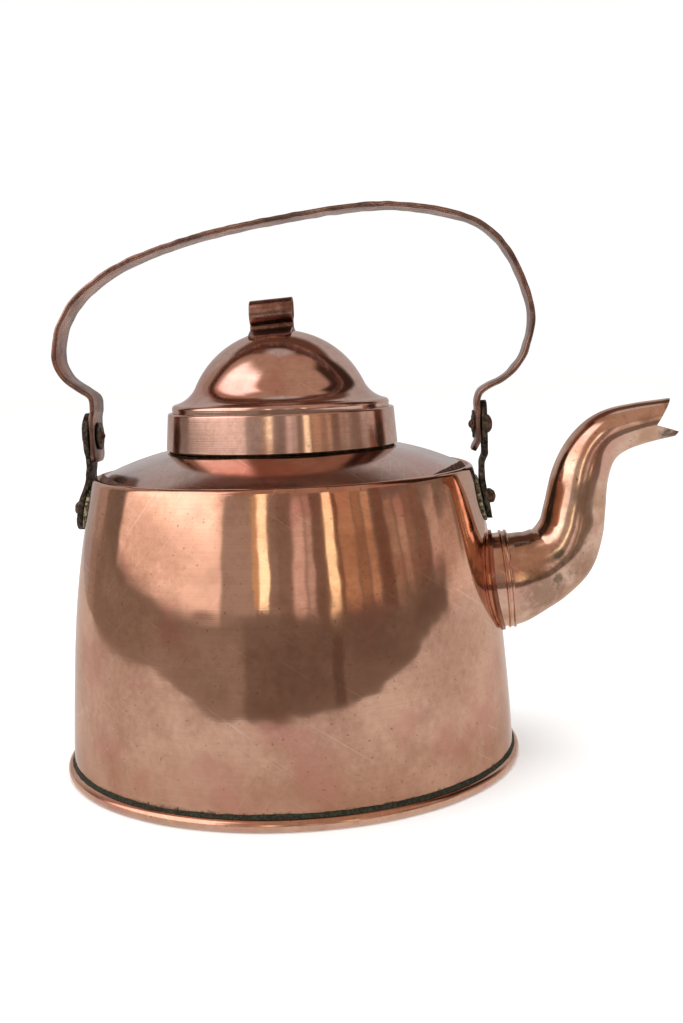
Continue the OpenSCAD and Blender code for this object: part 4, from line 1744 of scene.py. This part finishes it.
        # The outer head, the flat head inside and the shank
        shapes = (
            (outer_end + 0.1, 2.5, 4.2),
            (inner_end - 0.1, 0.5, 3.9),
            ((inner_end + outer_end) / 2, 5.0, 3.0),
        )
        pin_heads = [(Vector((side * x, 0.0, self.pin_z)), Vector(), Vector((h, r, r))) for x, h, r in shapes]
        pin = self.trees.hammered(f"hinge_pin_heads_{name}", pin_heads, self.finishes.rivet, 0.5, 5.0 + side)
        dress(pin, self.finishes.rivet, "rivet_copper", "kettle", f"hinge_pin_{name}")
        r, t = self.washer_r, self.washer_t
        hole, edge, skin = 3.0, 0.4, 0.05
        section = [(hole, skin), *arc(r - edge, edge + skin, edge, -90, 0, 4)]
        section += [*arc(r - edge, t - edge - skin, edge, 0, 90, 4), (hole, t - skin)]
        washer = self.trees.turn(
            f"washer_disc_{name}", section, self.finishes.ear, segments=64, dent=0.3, dent_size=4, seed=side
        )
        place = Matrix.Translation(Vector((side * inner_end, 0, self.pin_z)) * MM)
        washer.data.transform(place @ Matrix.Rotation(math.radians(90 * side), 4, "Y"))
        tidy_mesh(washer.data)
        dress(washer, self.finishes.ear, "rivet_copper", "kettle", f"washer_{name}")


@dataclass
class Handle:
    """The strap handle, in millimetres."""

    finishes: Finishes
    body: Body
    pin_z: float = 149.864
    width: float = 19.8
    thickness: float = 2.3
    rise: float = 97.5
    tail: float = 11.6
    end_corner: float = 4.0
    tail_bend_right: float = 2.2
    left: tuple[Point2, ...] = (
        (0, 8),
        (-0.9, 12.5),
        (-0.3, 18),
        (4, 21.5),
        (10.2, 26.2),
        (14.2, 33),
        (14.8, 41),
        (11.5, 52.5),
        (2.2, 65),
        (-18.3, 78.4),
        (-54.3, 89.7),
    )
    right: tuple[Point2, ...] = (
        (-75, 97.2),
        (-40, 100),
        (-10.4, 95.4),
        (6.4, 87.3),
        (17.2, 73),
        (24.6, 50.5),
        (21.8, 33.5),
        (16.2, 24.5),
        (10.6, 19.8),
        (5.2, 17.4),
        (1.2, 14.6),
        (0, 10.4),
        (0, 7.2),
    )

    def build(self) -> None:
        """Loft the strap along its curve, with softened edges and hammer marks."""
        left = -(self.body.top_r + 0.9 - 0.3 - self.thickness / 2)
        right = self.body.top_r + 3.9 - 0.3 - self.thickness / 2
        bend = 6.7
        share = self.rise / 100
        knots = [(left, -20.0), (left, -self.tail), (left, -bend), (left, 0.0)]
        knots += [(left - x, z * share) for x, z in self.left]
        knots += [(right + x, z * share) for x, z in self.right]
        knots += [(right, 0.0), (right, -bend), (right - self.tail_bend_right, -self.tail)]
        knots += [(right - 2 * self.tail_bend_right, -20.0)]
        spacing = 1.3
        path = even(spline(knots, 10), spacing)
        rings = []
        for i, (x, z) in enumerate(path):
            along = heading(path, i)
            outward = Vector((-along.z, 0.0, along.x))
            end = min(i, len(path) - 1 - i) * spacing
            corner = self.end_corner
            rounding = math.sqrt(max(corner**2 - (corner - min(end, corner)) ** 2, 0.02))
            half_w = self.width / 2 - corner + rounding
            middle = Vector((x, 0.0, z + self.pin_z))
            ring = []
            for across, depth in rounded_ring(half_w - 0.1, self.thickness / 2 - 0.08, 0.75, 3):
                place = middle + outward * depth + Vector((0.0, across, 0.0))
                near_edge = smoothstep(0.55, 1.0, abs(across) / half_w)
                away = smoothstep(12.0, 22.0, end)
                hammer = wobble(place, 5.0, 1.3) * (0.05 + 0.16 * near_edge) * away
                place += outward * (hammer - 0.12)
                place.y -= math.copysign(0.22 * (1 + wobble(place, 8.0, 9.7)) * near_edge * away, across)
                ring.append(place)
            rings.append(ring)
        strap = make_object("handle_strap_bar", *loft(rings))
        dress(strap, self.finishes.strap, "strap_copper", "handle", "handle_strap")


# Studio -------------------------------------------------------------------------------------------


@dataclass(frozen=True)
class Card:
    """A bright or dark part of the studio's surroundings, by direction from the kettle.

    Azimuth is in degrees from the front, towards the spout; elevation is in degrees from level.
    """

    azimuth: float
    elevation: float
    half_width: float
    half_height: float
    colour: str
    strength: float
    soft: float = 3.0


class Studio:
    """The floor, the surroundings, the lights and the camera."""

    surround = ("E2E2E4", 0.75)
    cards: tuple[Card, ...] = (
        Card(0, 30, 130, 62, "B99C8A", 1.0, 7),
        Card(180, 58, 60, 16, "6A4C3E", 1.0, 8),
        Card(112, 36, 24, 22, "3A261C", 1.0, 9),
        Card(-122, 18, 10, 30, "B6A89F", 1.0, 5),
        Card(-68, 47, 30, 15, "FFE9E8", 2.3, 14),
        Card(0, 4, 118, 17, "8E8077", 1.0, 4),
        Card(-106, 3, 7, 20, "867A72", 1.0, 3),
        Card(-63, 15, 36, 13.5, "FFEDE4", 1.3, 3.5),
        Card(-66, 23, 31, 10, "FFF1EA", 2.2, 9),
        Card(-21, 12, 9.5, 11, "B8ACA4", 1.0, 2.5),
        Card(-7.2, 16, 2.9, 12, "FFF4D6", 2.1, 1.0),
        Card(-11, 13, 1.6, 9, "E0BE98", 1.0, 0.8),
        Card(-1, 13, 2.6, 11, "A09088", 1.0, 1.2),
        Card(5.5, 13, 3.6, 14, "96857B", 1.0, 1.4),
        Card(12.5, 11, 3.2, 9, "E2CCC4", 1.15, 2.5),
        Card(18.5, 11, 1.8, 10, "CDB8B0", 1.1, 1.2),
        Card(24, 12, 3.4, 12, "8A7468", 1.0, 1.4),
        Card(30, 13, 2.7, 11, "FFEFCB", 1.8, 0.8),
        Card(34.5, 12, 1.2, 10, "8A6850", 1.0, 0.6),
        Card(40, 12, 4.2, 11, "CCA688", 1.0, 1.2),
        Card(47.5, 10, 2.4, 12, "B08C72", 1.0, 1.0),
        Card(53.5, 10, 2.4, 10, "CCA88C", 1.1, 1.0),
        Card(61, 8, 3.6, 14, "86695A", 1.0, 1.4),
        Card(68, 6, 2.6, 10, "BCA290", 1.0, 1.2),
        Card(74, 6, 2.2, 9, "CCB2A2", 1.0, 1.0),
        Card(79, 6, 2.0, 9, "A48A7A", 1.0, 1.0),
        Card(86, 8, 3.2, 10, "94796A", 1.0, 1.6),
        Card(96, 4, 4.6, 8, "DCC8BE", 1.0, 2.5),
        Card(108, 1, 7.5, 7, "D6C0B6", 1.0, 3),
        Card(0, -12, 100, 14.5, "857870", 1.0, 3),
        Card(-70, -10, 52, 11, "A1968D", 1.0, 5),
        Card(30, -5, 3, 5, "6E5E55", 1.0, 2),
        Card(112, -8, 14, 8, "F0E4DE", 1.0, 4),
    )

    def build(self) -> None:
        """Build the whole studio."""
        self._surroundings()
        self._floor("floor", ((-6, -6), (6, -6), (6, 6), (-6, 6)), "FEFEFD", mirrored=False)
        # The polished metal mirrors a table whose front edge is near
        table = [(-0.69, 1.2), (-0.66, -0.1), (-0.6, -0.27), (-0.46, -0.345), (0.25, -0.36)]
        table += [(0.5, -0.39), (0.72, -0.3), (1.5, -0.2), (1.45, 0.4), (0.6, 1.2)]
        self._floor("table", table, "E4E0DE", mirrored=True)
        self._light()
        self._camera()

    def _surroundings(self) -> None:
        """Draw the surroundings by direction, as the kettle mirrors them; all else sees plain white."""
        world = bpy.data.worlds.new("Studio surroundings")
        bpy.context.scene.world = world
        world.use_nodes = True
        tree = world.node_tree
        tree.nodes.clear()
        where = add_node(tree, "ShaderNodeTexCoord").outputs["Generated"]
        unit = add_node(tree, "ShaderNodeVectorMath", {0: where}, operation="NORMALIZE").outputs[0]
        parts = add_node(tree, "ShaderNodeSeparateXYZ", {0: unit}).outputs
        around = maths(tree, "ARCTAN2", parts["X"], maths(tree, "MULTIPLY", parts["Y"], -1.0))
        azimuth = maths(tree, "DEGREES", around)
        elevation = maths(tree, "DEGREES", maths(tree, "ARCSINE", parts["Z"]))
        colour: Value = linear(*self.surround)
        for card in self.cards:
            mask = self._mask(tree, card, azimuth, elevation)
            colour = mix(tree, mask, colour, linear(card.colour, card.strength))
        glossy = add_node(tree, "ShaderNodeLightPath").outputs["Is Glossy Ray"]
        shown = add_node(tree, "ShaderNodeBackground", {"Color": colour, "Strength": 1.0}).outputs[0]
        white = {"Color": linear("FFFFFF"), "Strength": 1.02}
        plain = add_node(tree, "ShaderNodeBackground", white).outputs[0]
        mixed = add_node(tree, "ShaderNodeMixShader", {0: glossy, 1: plain, 2: shown})
        add_node(tree, "ShaderNodeOutputWorld", {"Surface": mixed.outputs[0]})

    @staticmethod
    def _mask(tree: Tree, card: Card, azimuth: Value, elevation: Value) -> Value:
        """Mask one card, with soft edges.

        Args:
            tree: The world's tree.
            card: The card.
            azimuth: The direction looked in, around.
            elevation: The direction looked in, up.

        Returns:
            One on the card and zero off it.
        """
        across = maths(tree, "WRAP", maths(tree, "SUBTRACT", azimuth, card.azimuth), -180.0, 180.0)
        up = maths(tree, "SUBTRACT", elevation, card.elevation)
        masks = []
        for away, half in ((across, card.half_width), (up, card.half_height)):
            inside, outside = half - card.soft / 2, half + card.soft / 2
            masks.append(remap(tree, maths(tree, "ABSOLUTE", away), inside, outside, 1.0, 0.0, soft=True))
        return maths(tree, "MULTIPLY", *masks)

    @staticmethod
    def _floor(name: str, corners: Sequence[Point2], colour: str, mirrored: bool) -> None:
        """Lay a flat pale floor.

        Args:
            name: The floor's name.
            corners: Its outline, in metres.
            colour: Its colour.
            mirrored: Whether only the metal's reflections show it, or everything but them.
        """
        mesh = bpy.data.meshes.new(name)
        mesh.from_pydata([(x, y, 0.0) for x, y in corners], [], [list(range(len(corners)))])
        floor = bpy.data.objects.new(name, mesh)
        bpy.context.scene.collection.objects.link(floor)
        material = bpy.data.materials.new(f"Pale {name}")
        material.use_nodes = True
        shader = material.node_tree.nodes["Principled BSDF"]
        shader.inputs["Base Color"].default_value = linear(colour)
        shader.inputs["Roughness"].default_value = 0.9
        shader.inputs["Specular IOR Level"].default_value = 0.1
        mesh.materials.append(material)
        floor.visible_glossy = mirrored
        floor.visible_camera = not mirrored
        floor.visible_diffuse = not mirrored
        floor.visible_shadow = not mirrored

    @staticmethod
    def _light() -> None:
        """Hang a large soft light overhead; the metal doesn't mirror it."""
        place, size, watts = (-0.3, -0.2, 2.2), 2.4, 26.0
        light = bpy.data.lights.new("softbox", "AREA")
        light.shape, light.size, light.energy = "DISK", size, watts
        obj = bpy.data.objects.new("softbox", light)
        obj.location = place
        obj.visible_glossy = False
        bpy.context.scene.collection.objects.link(obj)

    @staticmethod
    def _camera() -> None:
        """Place the camera a little above the lid, looking slightly down."""
        place, lens_mm, sensor_mm, nearest = Vector((0.05914, -0.5703, 0.185)), 44.48, 36.0, 0.01
        yaw, pitch, roll = math.radians(-3.36), -0.1273, -0.0363
        camera = bpy.data.cameras.new("camera")
        camera.lens, camera.sensor_width, camera.clip_start = lens_mm, sensor_mm, nearest
        obj = bpy.data.objects.new("camera", camera)
        forward = Vector((math.sin(yaw) * math.cos(pitch), math.cos(yaw) * math.cos(pitch), math.sin(pitch)))
        right = Vector((math.cos(yaw), -math.sin(yaw), 0.0))
        up = right.cross(forward)
        turned_right = right * math.cos(roll) + up * math.sin(roll)
        turned_up = up * math.cos(roll) - right * math.sin(roll)
        basis = Matrix((turned_right, turned_up, -forward)).transposed()
        obj.matrix_world = Matrix.Translation(place) @ basis.to_4x4()
        bpy.context.scene.collection.objects.link(obj)
        bpy.context.scene.camera = obj


def main() -> None:
    """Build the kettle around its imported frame, and the studio around the kettle."""
    logging.basicConfig(level=logging.INFO, format="%(name)s: %(message)s")
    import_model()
    bpy.context.scene.view_settings.view_transform = "Standard"
    trees, finishes = Trees(), Finishes()
    body = Body(trees, finishes)
    body.build()
    Lid(trees, finishes).build()
    Spout(trees, finishes).build()
    Hinges(trees, finishes, body).build()
    Handle(finishes, body).build()
    Studio().build()


if __name__ == "__main__":
    main()
